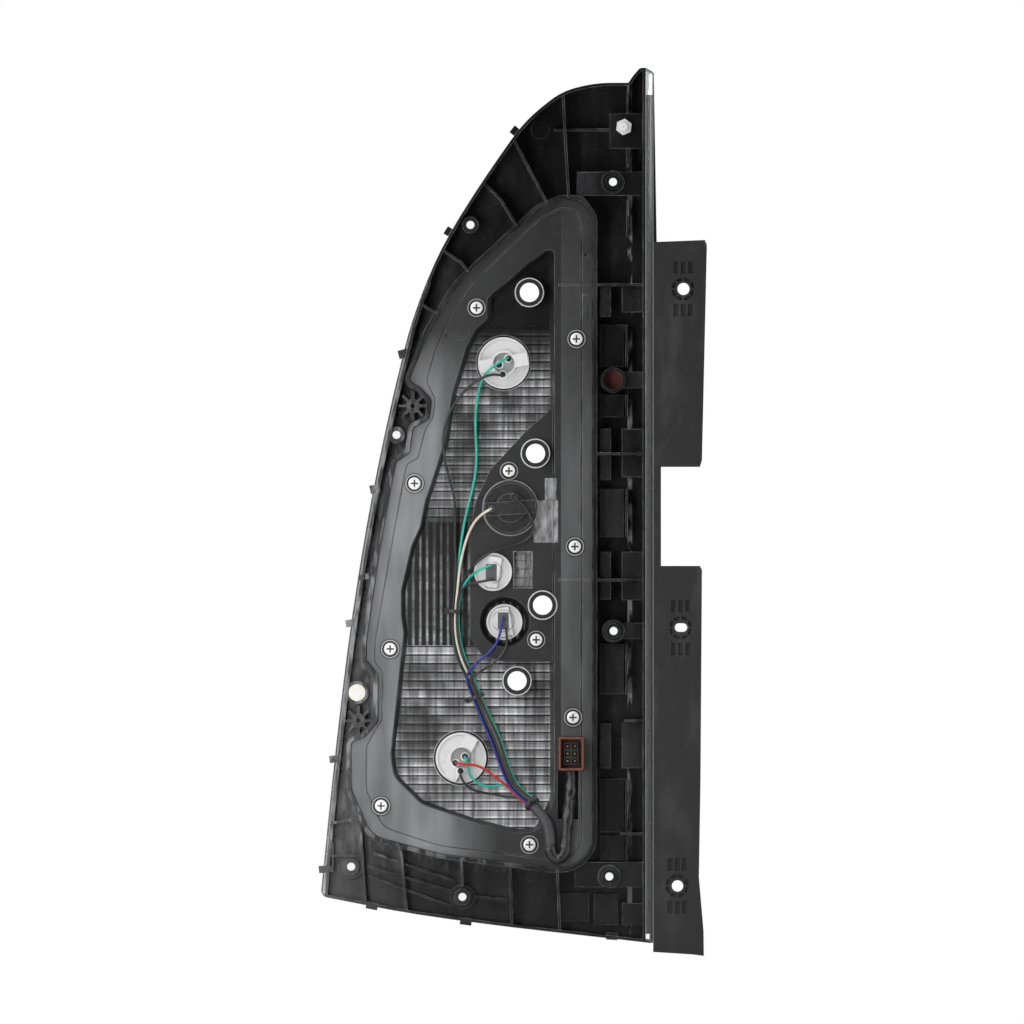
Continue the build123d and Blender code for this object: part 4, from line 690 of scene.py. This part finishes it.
# Pale painted highlights along the edges, in patches.
painted_edge_highlight = gloss.edges(0.5, 7.0) * gloss.noise(13, 3, 0.6).ramp(0.4, 4.5)
gloss_colour = gloss.shade(gloss_colour, (0.33, 0.33, 0.34), painted_edge_highlight * 0.85)
peel = gloss.bump(gloss.noise(1.8, 2, 0.5), 0.012, 1.0, gloss.soft_edges(0.45))
gloss.set(Base_Color=gloss_colour, Roughness=breath * 0.16 + haze * 0.12 + 0.14,
          Normal=gloss.bump(gloss.noise(14, 2), 0.05, 1.0, peel))
wear("rear_frame", gloss)

# %% [markdown]
# ## Satin plastic of the side flange
# The flange is a softer, greyer plastic with a fine grain and pale scuffs from handling. The scuffs are two
# clouds of noise cut off at a level, one long and one small.

# %% Flange finish
satin = Finish("satin_dark")
scuff = satin.noise(18, 4, 0.62, (1, 1, 2.4)).ramp(0.5, 3.0)
small_scuff = satin.noise(4, 5, 0.7).ramp(0.56, 5.0)
grain = satin.noise(0.45, 1, 0.5)
satin_scuffs = scuff * 0.5 + small_scuff * 0.35
satin.set(Base_Color=satin.shade((0.017, 0.017, 0.018), (0.052, 0.052, 0.055), satin_scuffs),
          Roughness=scuff * 0.14 + grain * 0.1 + 0.34,
          Normal=satin.bump(grain, 0.02, 0.8, satin.soft_edges(0.5)))
wear("side_flange", satin)

# %% [markdown]
# ## The lamp housing
# The housing is one moulding with several looks. Its margin and plates are satin grey-black, with long pale
# streaks of painted light on its left side and a weaker band of it on the right. The backs of its reflectors
# are metallised on the other side, and the light on their facets is painted as a grid of bright cells with
# dark lines between. The facets lie deeper than everything round them, so their depth along y makes the mask,
# and their rows and columns come from x and z. The tunnels, screws and large holders each have a ring of
# painted shade and one of painted highlight, drawn by the distance from the nearest of them. The slopes
# beside the turn and marker holders have painted silvery reflections, and the edges pale painted highlights
# in patches.

# %% Housing finish: masks by place and depth
TUNNELS = [(-106.3, -2.4), (-102.1, -113.5), (-97.2, -218.2), (-114.8, -270.4)]
SCREWS = [(-142.8, -13.0), (-73.8, -34.5), (-185.6, -134.2), (-74.9, -177.8), (-202.4, -248.4),
          (-76.2, -295.7), (-208.7, -356.7), (-106.2, -383.5), (-120.4, -125.6), (-101.6, -242.1)]
HOLDERS = [(-124.1, -51.1), (-119.4, -151.1), (-153.5, -323.6)]
FACET_FLOOR = (20.4, 23.0)
FACETS_END = -90.5
MARGIN_TOP = 11.5
HOLDER_RIM = 18.6
housing = Finish("housing_dark")
x, y, z = housing.parts_of(housing.place)
deep = y.between(*FACET_FLOOR) * x.below(FACETS_END)
margin = y.below(MARGIN_TOP)
tunnel_reach = nearest(x, z, TUNNELS)
screw_reach = nearest(x, z, SCREWS)
holder_reach = nearest(x, z, HOLDERS)
lower_down = ((-28.0 - z) / 45.0).clipped()

# %% Housing finish: painted light on the facets
ROW = 5.95
COLUMN = 6.2
FLUTE = 4.8
FLUTES_SPAN = (-246.0, -161.0)
row_place = (z + Z_START) / ROW
column_place = (x + X_START) / COLUMN
flute_place = (x + X_START) / FLUTE
row_height = row_place.fraction()
from_row_middle = (row_height - 0.5) * (row_height - 0.5)
row_line = ((0.5 - from_row_middle.power(0.5) - 0.05) * 14.0).clipped()
column_line = 1.0 - ((column_place.fraction() - 0.5) * 2.0).power(8.0) * 0.45
foot_light = ((0.36 - row_height) * 7.0).clipped()
cell = housing.cells(housing.vector(column_place.floor(), row_place.floor(), 1.0))
streaks = housing.noise(5, 3, 0.6, (0.7, 1, 9)).ramp(0.32, 2.6)
painted_facet_sheen = housing.noise(34, 2, 0.5).ramp(0.36, 3.4)
bars = row_line * column_line * (cell * 0.4 + 0.6) * (streaks * 0.8 + 0.2) * (foot_light * 0.5 + 0.5)
flute_glow = 1.0 - ((flute_place.fraction() - 0.5) * 2.0).power(2.0)
ripple = housing.noise(4, 3, 0.6, (3, 1, 0.8)).ramp(0.3, 2.4)
flutes = flute_glow.power(9.0) * (ripple * 0.7 + 0.3)
flutes_part = z.between(*FLUTES_SPAN)
# Painted reflections on the metallised facets: bright cells, streaks and a broad sheen, fading out towards
# the top.
painted_facet_light = (bars * (1.0 - flutes_part) + flutes * flutes_part * 0.35) * (painted_facet_sheen * 0.85 + 0.15) * lower_down
painted_facet_reflections = housing.shade((0.006, 0.006, 0.0063), (0.98, 0.98, 1.0), (painted_facet_light * 1.5).clipped())

# %% Housing finish: satin margin with painted light, plateau, and slopes with painted reflections
streak = housing.noise(14, 2, 0.45, (1, 1, 5)).ramp(0.36, 2.4)
smudge = housing.noise(5, 4, 0.65).ramp(0.5, 3.0)
hazy = housing.noise(60, 2, 0.4).ramp(0.3, 2.2)
# Painted light on the margin: long pale streaks on the left side and a weaker band on the right, fading out
# towards the top.
left_light = ((-128.0 - x) / 45.0).clipped() * lower_down * margin
right_light = x.above(-84.5) * lower_down.larger(0.35) * margin
painted_margin_light = left_light * 0.85 + right_light * 0.3
plain = housing.shade((0.008, 0.008, 0.0083), (0.24, 0.243, 0.25), painted_margin_light * (streak * 0.55 + hazy * 0.3 + 0.3)
                      + smudge * 0.04 + hazy * 0.03)
slope_boxes = [(-95.6, -87.5, -145.5, -130.5), (-103.5, -86.5, -175.0, -145.8),
               (-117.5, -104.0, -206.5, -181.0), (-97.0, -93.6, -332.0, -260.0)]
# Painted silvery reflections on the slopes beside the turn and marker holders.
bright = any_box(x, z, slope_boxes)
painted_slope_sheen = housing.noise(5, 3, 0.6, (0.6, 1, 2.2)).ramp(0.3, 2.2)
plain = housing.shade(plain, (0.5, 0.5, 0.51), bright * painted_slope_sheen * holder_reach.above(HOLDER_RIM) * 0.85)

# %% Housing finish: rings of painted shade and of painted highlight round the tunnels, the screws and the holders
# Rings of painted shade, and rings of painted highlight.
painted_shade_rings = tunnel_reach.below(9.3).larger(screw_reach.between(4.2, 5.5))
painted_shade_rings = painted_shade_rings.larger(screw_reach.between(6.4, 7.0)).larger(holder_reach.between(17.4, 18.7))
painted_highlight_rings = tunnel_reach.between(9.4, 10.25).larger(screw_reach.between(5.6, 6.3) * 0.45)
painted_highlight_rings = painted_highlight_rings.larger(holder_reach.between(18.7, 19.4) * 0.6) * 0.8
# Pale painted highlights along the edges, in patches, outside the facets.
painted_housing_edge_highlight = housing.edges(0.5, 7.0) * housing.noise(17, 3, 0.6).ramp(0.36, 4.0) * (1.0 - deep)
housing_colour = housing.shade(plain, painted_facet_reflections, deep)
housing_colour = housing.shade(housing_colour, (0.42, 0.42, 0.43), painted_housing_edge_highlight * 0.7)
housing_colour = housing.shade(housing_colour, (0.006, 0.006, 0.006), painted_shade_rings * 0.94)
housing_colour = housing.shade(housing_colour, (0.6, 0.6, 0.61), painted_highlight_rings)
housing_grain = housing.noise(0.5, 1, 0.5)
housing.set(Base_Color=housing_colour, Metallic=deep * 0.3,
            Roughness=deep * -0.1 + smudge * 0.1 + housing_grain * 0.06 + 0.36,
            Normal=housing.bump(housing_grain, 0.015, 0.7, housing.soft_edges(0.45)))
wear("lamp_housing", housing)
print("housing nodes", len(housing.tree.nodes))

# %% [markdown]
# ## Clear and red lenses
# The outer lens is clear acrylic. Seen from the back only its edge shows, pale and bright, because light
# that enters its front leaves there. The inner lens is red acrylic with upright ribs that spread the light,
# and the panel before the turn and reversing bulbs is clear with a pillow pattern. The outer lens's rear
# edge is frosted where it is glued to the frame, and printed black along the right side.

# %% Lens finishes
REAR_EDGE_DEPTH = 30.0
PRINT_FROM = -27.5
PRINT_TOP = 134.0
RED_RIB, RED_WAVE = 2.6, 7.0
PILLOW = 4.0
clear = Finish("lens_clear")
clear_x, clear_y, clear_z = clear.parts_of(clear.place)
rear_edge = clear_y.below(REAR_EDGE_DEPTH)
printed = rear_edge * clear_x.above(PRINT_FROM) * clear_z.below(PRINT_TOP)
clear_pure = clear.shade((0.95, 0.96, 0.96), (0.86, 0.88, 0.88), (clear.noise(30, 3) - 0.3).clipped() * 0.4)
clear_edge = clear.shade((0.5, 0.51, 0.51), (0.24, 0.245, 0.25), clear.noise(9, 3, 0.5, (1, 1, 4)))
clear_colour = clear.shade(clear_pure, clear_edge, rear_edge)
clear.set(Base_Color=clear.shade(clear_colour, (0.012, 0.012, 0.012), printed),
          Roughness=clear.noise(12, 3) * 0.04 + rear_edge * 0.1 + 0.015, IOR=1.49, Transmission_Weight=1.0,
          Normal=clear.bump(clear.noise(40, 1), 0.03, 1.0, clear.soft_edges(0.5)))
wear("outer_lens", clear)

red = Finish("red_plastic")
red_x, _, red_z = red.parts_of(red.place)
red_relief = swell(red_x, X_START, RED_RIB) + swell(red_z, Z_START, RED_WAVE) * 0.6
red.set(Base_Color=red.shade((0.78, 0.004, 0.006), (0.55, 0.003, 0.005), red.noise(20, 2)),
        Roughness=red.noise(3, 2) * 0.08 + 0.14, IOR=1.49, Transmission_Weight=0.2,
        Normal=red.bump(red_relief, 0.7, 1.0))
wear("red_inner_lens", red)

pillow = Finish("pillow_clear")
pillow_x, _, pillow_z = pillow.parts_of(pillow.place)
pillow_relief = swell(pillow_x, X_START, PILLOW) + swell(pillow_z, Z_START, PILLOW)
pillow.set(Base_Color=pillow.shade((0.96, 0.97, 0.97), (0.9, 0.91, 0.92), pillow.noise(20, 2)),
           Roughness=pillow.noise(3, 2) * 0.05 + 0.04, IOR=1.49, Transmission_Weight=0.9,
           Normal=pillow.bump(pillow_relief, 0.8, 1.0))
wear("clear_inner_lens", pillow)

# %% [markdown]
# ## The dull red blind reflector
# A small red reflector sits at the bottom of one blind boss. Its colour is darkened with painted shade, and
# it is duller than the red lens and a little dusty.

# %% Blind reflector finish, a darker red for painted shade
dull_red = Finish("dull_red")
dull_dust = dull_red.noise(2.4, 4, 0.7)
dull_red.set(Base_Color=dull_red.shade((0.2, 0.018, 0.016), (0.08, 0.012, 0.012), dull_dust),
             Roughness=dull_red.noise(2, 3) * 0.3 + 0.25,
             Normal=dull_red.bump(dull_red.noise(0.8, 2), 0.05, 0.7))
wear("side_reflector", dull_red)

# %% [markdown]
# ## Chromed inner reflector
# The reflector behind the plateau is vacuum-coated: mirror bright, with shallow square facets that spread
# the bulb's light and a faint haze where the coating is thin.

# %% Chrome finish
CHROME_FACET = 8.0
chrome = Finish("chrome_coat")
chrome_x, _, chrome_z = chrome.parts_of(chrome.place)
chrome_relief = swell(chrome_x, X_START, CHROME_FACET) + swell(chrome_z, Z_START, CHROME_FACET)
chrome.set(Base_Color=chrome.shade((0.86, 0.86, 0.87), (0.74, 0.74, 0.76), chrome.noise(16, 3)), Metallic=1.0,
           Roughness=chrome.noise(9, 3) * 0.07 + 0.04, Normal=chrome.bump(chrome_relief, 0.9, 1.0))
wear("inner_reflector", chrome)

# %% [markdown]
# ## Bulb holders and their seals
# Four holders are moulded in pale grey nylon, with a dull skin and some grime. The turn holder is black. A
# thin rubber ring shows round each. On the pale holders painted shade darkens the central cups, the holes of
# the wire tubes and the slots of the two small holders, which the solids lack, and each tube's rim has a
# painted highlight. The turn holder's edges have pale painted highlights.

# %% Holder finishes
TUBES = [(-120.9, -48.0), (-127.2, -52.3), (-124.7, -59.1),
         (-150.8, -322.6), (-157.4, -327.1), (-153.9, -332.6)]
SLOTS = [(-132.6, -195.7), (-124.3, -229.0)]
CUPS = [(-123.8, -51.4), (-152.3, -323.8)]
SLOT_HALF_WIDTH, SLOT_HALF_HEIGHT = 3.8, 5.9
HOLDER_DEPTH = 21.5
CUP_R = 7.3
TUBE_OUTER_R, TUBE_INNER_R = 3.0, 2.1
pale = Finish("holder_grey")
pale_x, pale_y, pale_z = pale.parts_of(pale.place)
grime = pale.noise(5, 4, 0.65).ramp(0.52, 3.2)
mottle = pale.noise(1.2, 3, 0.6)
cup_reach = nearest(pale_x, pale_z, CUPS)
tube_reach = nearest(pale_x, pale_z, TUBES)
slot = any_box(pale_x, pale_z, [(slot_x - SLOT_HALF_WIDTH, slot_x + SLOT_HALF_WIDTH,
                                 slot_z - SLOT_HALF_HEIGHT, slot_z + SLOT_HALF_HEIGHT)
                                for slot_x, slot_z in SLOTS])
painted_collar_shade = nearest(pale_x, pale_z, SLOTS).between(7.2, 7.9) * pale_x.above(-131.0) * 0.6
seen_from_behind = pale_y.below(HOLDER_DEPTH)
pale_colour = pale.shade((0.6, 0.6, 0.6), (0.34, 0.34, 0.335), grime * 0.4 + (mottle - 0.5) * 0.14)
# Painted shade in the central cups, a painted highlight on the tube rims and painted shade in the tubes'
# holes.
pale_colour = pale.shade(pale_colour, (0.24, 0.24, 0.24), cup_reach.below(CUP_R) * seen_from_behind * 0.7)
pale_colour = pale.shade(pale_colour, (0.8, 0.8, 0.8), tube_reach.below(TUBE_OUTER_R) * seen_from_behind)
pale_colour = pale.shade(pale_colour, (0.012, 0.012, 0.013),
                         tube_reach.below(TUBE_INNER_R) * seen_from_behind)
# Painted shade for the slots of the two small holders and an arc of painted shade beside them.
pale_colour = pale.shade(pale_colour, (0.03, 0.03, 0.032), slot.larger(painted_collar_shade) * 0.9)
pale.set(Base_Color=pale_colour, Roughness=mottle * 0.14 + 0.34,
         Normal=pale.bump(mottle, 0.03, 0.6, pale.soft_edges(0.4)))
for name in ("upper_bulb_holder", "lower_bulb_holder", "marker_bulb_holder", "reverse_bulb_holder"):
    wear(name, pale)

dark = Finish("holder_black")
dark_mottle = dark.noise(3, 4, 0.65)
dark_colour = dark.shade((0.01, 0.01, 0.01), (0.035, 0.035, 0.036), dark_mottle.ramp(0.42, 2.4))
# Pale painted highlights along the edges.
dark.set(Base_Color=dark.shade(dark_colour, (0.22, 0.22, 0.22), dark.edges(0.5, 6.0)),
         Roughness=dark_mottle * 0.2 + 0.24,
         Normal=dark.bump(dark.noise(0.9, 2), 0.02, 0.8, dark.soft_edges(0.4)))
wear("turn_bulb_holder", dark)

rubber = Finish("seal_rubber")
rubber_mottle = rubber.noise(2.2, 4, 0.7)
rubber.set(Base_Color=rubber.shade((0.008, 0.008, 0.008), (0.028, 0.028, 0.028), rubber_mottle),
           Roughness=rubber_mottle * 0.2 + 0.6, Normal=rubber.bump(rubber.noise(0.5, 2), 0.03, 0.8))
for name in nodes:
    if name.endswith("_seal"):
        wear(name, rubber)

# %% [markdown]
# ## Bulbs
# The bulbs are plain glass with a little grey on the inside from use; the turn bulb is amber. Their bases
# are brushed nickel, and so is the bush in the left fixing boss.

# %% Bulb finishes
def bulb_glass(name, colour, deeper):
    glass = Finish(name)
    glass.set(Base_Color=glass.shade(colour, deeper, (glass.noise(9, 3) - 0.35).clipped()),
              Roughness=glass.noise(6, 3) * 0.05 + 0.01, IOR=1.46, Transmission_Weight=1.0)
    return glass


bulb_clear = bulb_glass("bulb_glass", (0.96, 0.96, 0.95), (0.8, 0.8, 0.79))
bulb_amber = bulb_glass("bulb_amber", (0.95, 0.38, 0.03), (0.85, 0.28, 0.02))
for name in ("upper_bulb_glass", "lower_bulb_glass", "marker_bulb", "reverse_bulb"):
    wear(name, bulb_clear)
wear("turn_bulb_glass", bulb_amber)

nickel = Finish("bulb_metal")
brush = nickel.noise(0.5, 2, 0.6, (1, 8, 1))
nickel.set(Base_Color=nickel.shade((0.62, 0.6, 0.56), (0.4, 0.39, 0.36), brush), Metallic=1.0,
           Roughness=brush * 0.2 + 0.22, Normal=nickel.bump(brush, 0.01, 0.7))
for name in ("upper_bulb_base", "turn_bulb_base", "lower_bulb_base", "left_bush"):
    wear(name, nickel)

# %% [markdown]
# ## Screws, nut and stud
# Bright zinc: nearly white where it faces the light, with a fine grain, a few dull specks and a slightly
# yellow cast in places. The stud has the same plating.

# %% Zinc finish, with painted shade at the bottom of each screw's cross, whose depth depends on the face it sits on
MARGIN_CROSS = (6.75, 7.05)
PLATEAU_CROSS = (11.55, 11.85)
CROSS_REACH = 3.4
zinc = Finish("bright_zinc")
zinc_x, zinc_y, zinc_z = zinc.parts_of(zinc.place)
painted_cross_shade = zinc_y.between(*MARGIN_CROSS).larger(zinc_y.between(*PLATEAU_CROSS))
painted_cross_shade = painted_cross_shade * nearest(zinc_x, zinc_z, SCREWS).below(CROSS_REACH)
speck = zinc.noise(0.9, 4, 0.7).ramp(0.55, 4.0)
tint = zinc.noise(4, 2)
zinc_colour = zinc.shade((0.86, 0.86, 0.87), (0.76, 0.75, 0.71), tint)
zinc_colour = zinc.shade(zinc_colour, (0.4, 0.39, 0.38), speck * 0.4)
# Painted shade at the bottom of each cross.
zinc_colour = zinc.shade(zinc_colour, (0.05, 0.05, 0.05), painted_cross_shade)
zinc.set(Base_Color=zinc_colour, Metallic=0.3, Roughness=tint * 0.12 + speck * 0.16 + 0.24,
         Normal=zinc.bump(zinc.noise(0.35, 2), 0.012, 0.8, zinc.soft_edges(0.25)))
for name in ("housing_screws", "threaded_stud", "hex_nut"):
    wear(name, zinc)

# %% [markdown]
# ## The connector
# The shell is moulded in brown nylon, darker in patches, and holds a black core with brass terminals.

# %% Connector finishes
brown = Finish("connector_brown")
brown_mottle = brown.noise(2.5, 4, 0.65)
brown_patches = brown_mottle.ramp(0.35, 2.0)
brown.set(Base_Color=brown.shade((0.17, 0.055, 0.028), (0.075, 0.026, 0.016), brown_patches),
          Roughness=brown_mottle * 0.16 + 0.3,
          Normal=brown.bump(brown_mottle, 0.03, 0.6, brown.soft_edges(0.3)))
wear("connector_shell", brown)

core = Finish("connector_black")
core_mottle = core.noise(1.6, 3, 0.6)
core.set(Base_Color=core.shade((0.009, 0.009, 0.009), (0.03, 0.03, 0.031), core_mottle),
         Roughness=core_mottle * 0.2 + 0.3,
         Normal=core.bump(core.noise(0.6, 2), 0.015, 0.7, core.soft_edges(0.2)))
wear("connector_core", core)
for tie in ties:
    tie.data.materials.clear()
    tie.data.materials.append(core.material)

brass = Finish("terminal_brass")
brass_mottle = brass.noise(0.8, 3, 0.6)
brass.set(Base_Color=brass.shade((0.72, 0.5, 0.2), (0.42, 0.3, 0.14), brass_mottle), Metallic=1.0,
          Roughness=brass_mottle * 0.2 + 0.22)
wear("connector_terminals", brass)

# %% [markdown]
# ## Wire insulation, sleeve and tape
# Each wire's plastic is one colour, slightly uneven and rubbed paler in places. The sleeve is a dull grey
# hose, and the tape is black cloth-backed plastic with a lap line wherever a turn ends. The tape follows its
# own tube, so its lines come from the tube's own map: once round is 0 to 1, and each 10 mm along is 1.

# %% Wire finishes
wire_colours = {
    "green": ((0.02, 0.42, 0.31), (0.012, 0.26, 0.2)), "black": ((0.012, 0.012, 0.013), (0.03, 0.03, 0.031)),
    "cream": ((0.66, 0.6, 0.5), (0.48, 0.42, 0.34)), "blue": ((0.014, 0.02, 0.24), (0.01, 0.013, 0.13)),
    "red": ((0.5, 0.02, 0.018), (0.3, 0.014, 0.014)),
}


def insulation(colour):
    skin = Finish("wire_" + colour)
    pure, rubbed_and_painted_reflection = wire_colours[colour]
    patch = skin.noise(6, 3, 0.6)
    skin.set(Base_Color=skin.shade(pure, rubbed_and_painted_reflection, patch.ramp(0.35, 2.0)),
             Roughness=patch * 0.14 + 0.3, Normal=skin.bump(skin.noise(1.2, 2), 0.02, 0.6))
    return skin


skins = {colour: insulation(colour) for colour in wire_colours}
for name, wire in wires.items():
    wire.data.materials.append(skins[name.split("_")[1]].material)

# %% Sleeve and tape finishes
hose = Finish("sleeve_grey")
hose_mottle = hose.noise(2, 4, 0.7)
hose_patches = hose_mottle.ramp(0.35, 1.8)
hose.set(Base_Color=hose.shade((0.03, 0.03, 0.032), (0.075, 0.075, 0.08), hose_patches),
         Roughness=hose_mottle * 0.2 + 0.42, Normal=hose.bump(hose.noise(0.6, 2), 0.04, 0.8))
sleeve.data.materials.append(hose.material)

tape = Finish("tape_black")
around, far, _ = [part / PER_METRE for part in tape.parts_of(tape.uv)]
lap = (far * (1.0 / (MAP_PER_METRE * TAPE_PITCH)) + around).fraction()
lap_line = lap.ramp(0.9, 10.0)
weave = tape.noise(0.6, 2, 0.6)
crumple = tape.noise(5, 4, 0.65)
tape.set(Base_Color=tape.shade((0.01, 0.01, 0.01), (0.04, 0.04, 0.042), lap_line * 0.5 + crumple * 0.3),
         Roughness=crumple * 0.25 + 0.2,
         Normal=tape.bump(weave, 0.02, 0.5, tape.bump(crumple, 0.5, 0.8)))
lead.data.materials.append(tape.material)

# %% [markdown]
# ## Floor, world and lamps
# The photo's background is plain white, so the world is white wherever the camera, a reflection or clear
# plastic sees it, and only a soft grey light for everything else. The lamps are large soft boxes, as in a
# product studio: one high on the left, a weaker one on the right, one from above along the ribs, one for the
# lens side, and a narrow one close to the left edge. Black plastic shows their shapes as long soft
# reflections.

# %% Floor: paper near the lamp, which keeps its shadow, and plain white to the camera further out
FLOOR_GAP = 0.4
NEAR_FLOOR = 600.0
FLOOR_FADE = 500.0
FLOOR_SIZE = 9.0
tidy_selection()
bpy.ops.mesh.primitive_grid_add(x_subdivisions=24, y_subdivisions=24, size=FLOOR_SIZE,
                                location=(VIEW_MIDDLE[0] * MM, 0, cad_low.z - FLOOR_GAP * MM))
floor = settle(bpy.context.object)
floor.name = "studio_floor"
paper = Finish("floor_paper")
paper.set(Base_Color=paper.shade((0.9, 0.9, 0.9), (0.86, 0.86, 0.86), paper.noise(60, 3)),
          Roughness=paper.noise(8, 2) * 0.1 + 0.7)
paper_x, paper_y, _ = paper.parts_of(paper.place)
far_floor = nearest(paper_x, paper_y, [(VIEW_MIDDLE[0], 0.0)]).ramp(NEAR_FLOOR, 1.0 / FLOOR_FADE)
to_camera = paper.node("ShaderNodeLightPath", None, None, "Is Camera Ray")
glow = paper.node("ShaderNodeEmission", None, {"Strength": 1.0})
paper_skin = Value(paper.tree, paper.shader.outputs[0])
floor_skin = paper.node("ShaderNodeMixShader", None, {0: far_floor * to_camera, 1: paper_skin, 2: glow})
paper.tree.links.new(floor_skin.socket, paper.output.inputs["Surface"])
floor.data.materials.append(paper.material)

# %% World
WORLD_LIGHT = 0.3
WORLD_SEEN = 1.0
world = bpy.data.worlds.new("studio_world")
bpy.context.scene.world = world
world.use_nodes = True
world_nodes, world_links = world.node_tree.nodes, world.node_tree.links
world_light = world_nodes["Background"]
path = world_nodes.new("ShaderNodeLightPath")
seen = world_nodes.new("ShaderNodeMath")
seen.operation = "MAXIMUM"
world_links.new(path.outputs["Is Camera Ray"], seen.inputs[0])
world_links.new(path.outputs["Is Transmission Ray"], seen.inputs[1])
shining = world_nodes.new("ShaderNodeMath")
shining.operation = "MAXIMUM"
world_links.new(seen.outputs[0], shining.inputs[0])
world_links.new(path.outputs["Is Glossy Ray"], shining.inputs[1])
level = world_nodes.new("ShaderNodeMapRange")
level.inputs["To Min"].default_value = WORLD_LIGHT
level.inputs["To Max"].default_value = WORLD_SEEN
world_links.new(shining.outputs[0], level.inputs["Value"])
world_links.new(level.outputs[0], world_light.inputs["Strength"])
world_light.inputs["Color"].default_value = (1, 1, 1, 1)


# %% Soft boxes, aimed at the middle of the lamp
LAMP_MIDDLE = (-0.118, 0.0, -0.154)
LEFT_EDGE = (-0.235, 0.0, -0.2)


def soft_box(name, place, size, watts, aim=LAMP_MIDDLE):
    lamp = bpy.data.lights.new(name, "AREA")
    lamp.shape = "RECTANGLE"
    lamp.size, lamp.size_y = size
    lamp.energy = watts
    box = bpy.data.objects.new(name, lamp)
    box.location = place
    box.rotation_euler = (Vector(aim) - Vector(place)).to_track_quat("-Z", "Y").to_euler()
    box.visible_camera = False
    bpy.context.scene.collection.objects.link(box)
    return box


soft_box("key_left", (-1.35, -0.95, 0.55), (0.9, 1.5), 16)
soft_box("strip_right", (1.15, -0.85, -0.1), (0.35, 1.6), 6.5)
soft_box("top_strip", (-0.1, -0.7, 1.5), (1.5, 0.5), 7)
soft_box("lens_side", (-0.9, 1.9, 0.7), (1.4, 1.4), 22)
soft_box("edge_strip", (-0.3, -0.5, -0.2), (0.1, 0.62), 1.2, LEFT_EDGE)

# %% [markdown]
# Black plastic that faces the camera would mirror the white world and turn grey. A photographer hangs a
# black cloth round the camera, so that only the slopes catch light. The cloth here is seen by reflections
# alone, so it may hang between the camera and the lamp and hides nothing in any view.

# %% Black cloth between the lamp and the camera
CLOTH_Y = -1.6
CLOTH_SIZE = 6.0
tidy_selection()
bpy.ops.mesh.primitive_grid_add(x_subdivisions=8, y_subdivisions=8, size=CLOTH_SIZE,
                                location=(VIEW_MIDDLE[0] * MM, CLOTH_Y, VIEW_MIDDLE[1] * MM),
                                rotation=(math.radians(90), 0, 0))
cloth = settle(bpy.context.object)
cloth.name = "black_cloth"
felt = Finish("black_felt")
felt.set(Base_Color=felt.shade((0.01, 0.01, 0.01), (0.02, 0.02, 0.02), felt.noise(40, 3)), Roughness=1.0,
         Specular_IOR_Level=0.0)
cloth.data.materials.append(felt.material)
cloth.visible_camera = False
cloth.visible_diffuse = False
cloth.visible_transmission = False
cloth.visible_shadow = False

# %% [markdown]
# ## Sizes
# The solids' own box is printed at the end. The dressed model must stay inside the solids' own
# box.

# %% Write the sizes and finish
print("cad", [round(v, 4) for v in (*cad_low, *cad_high)])
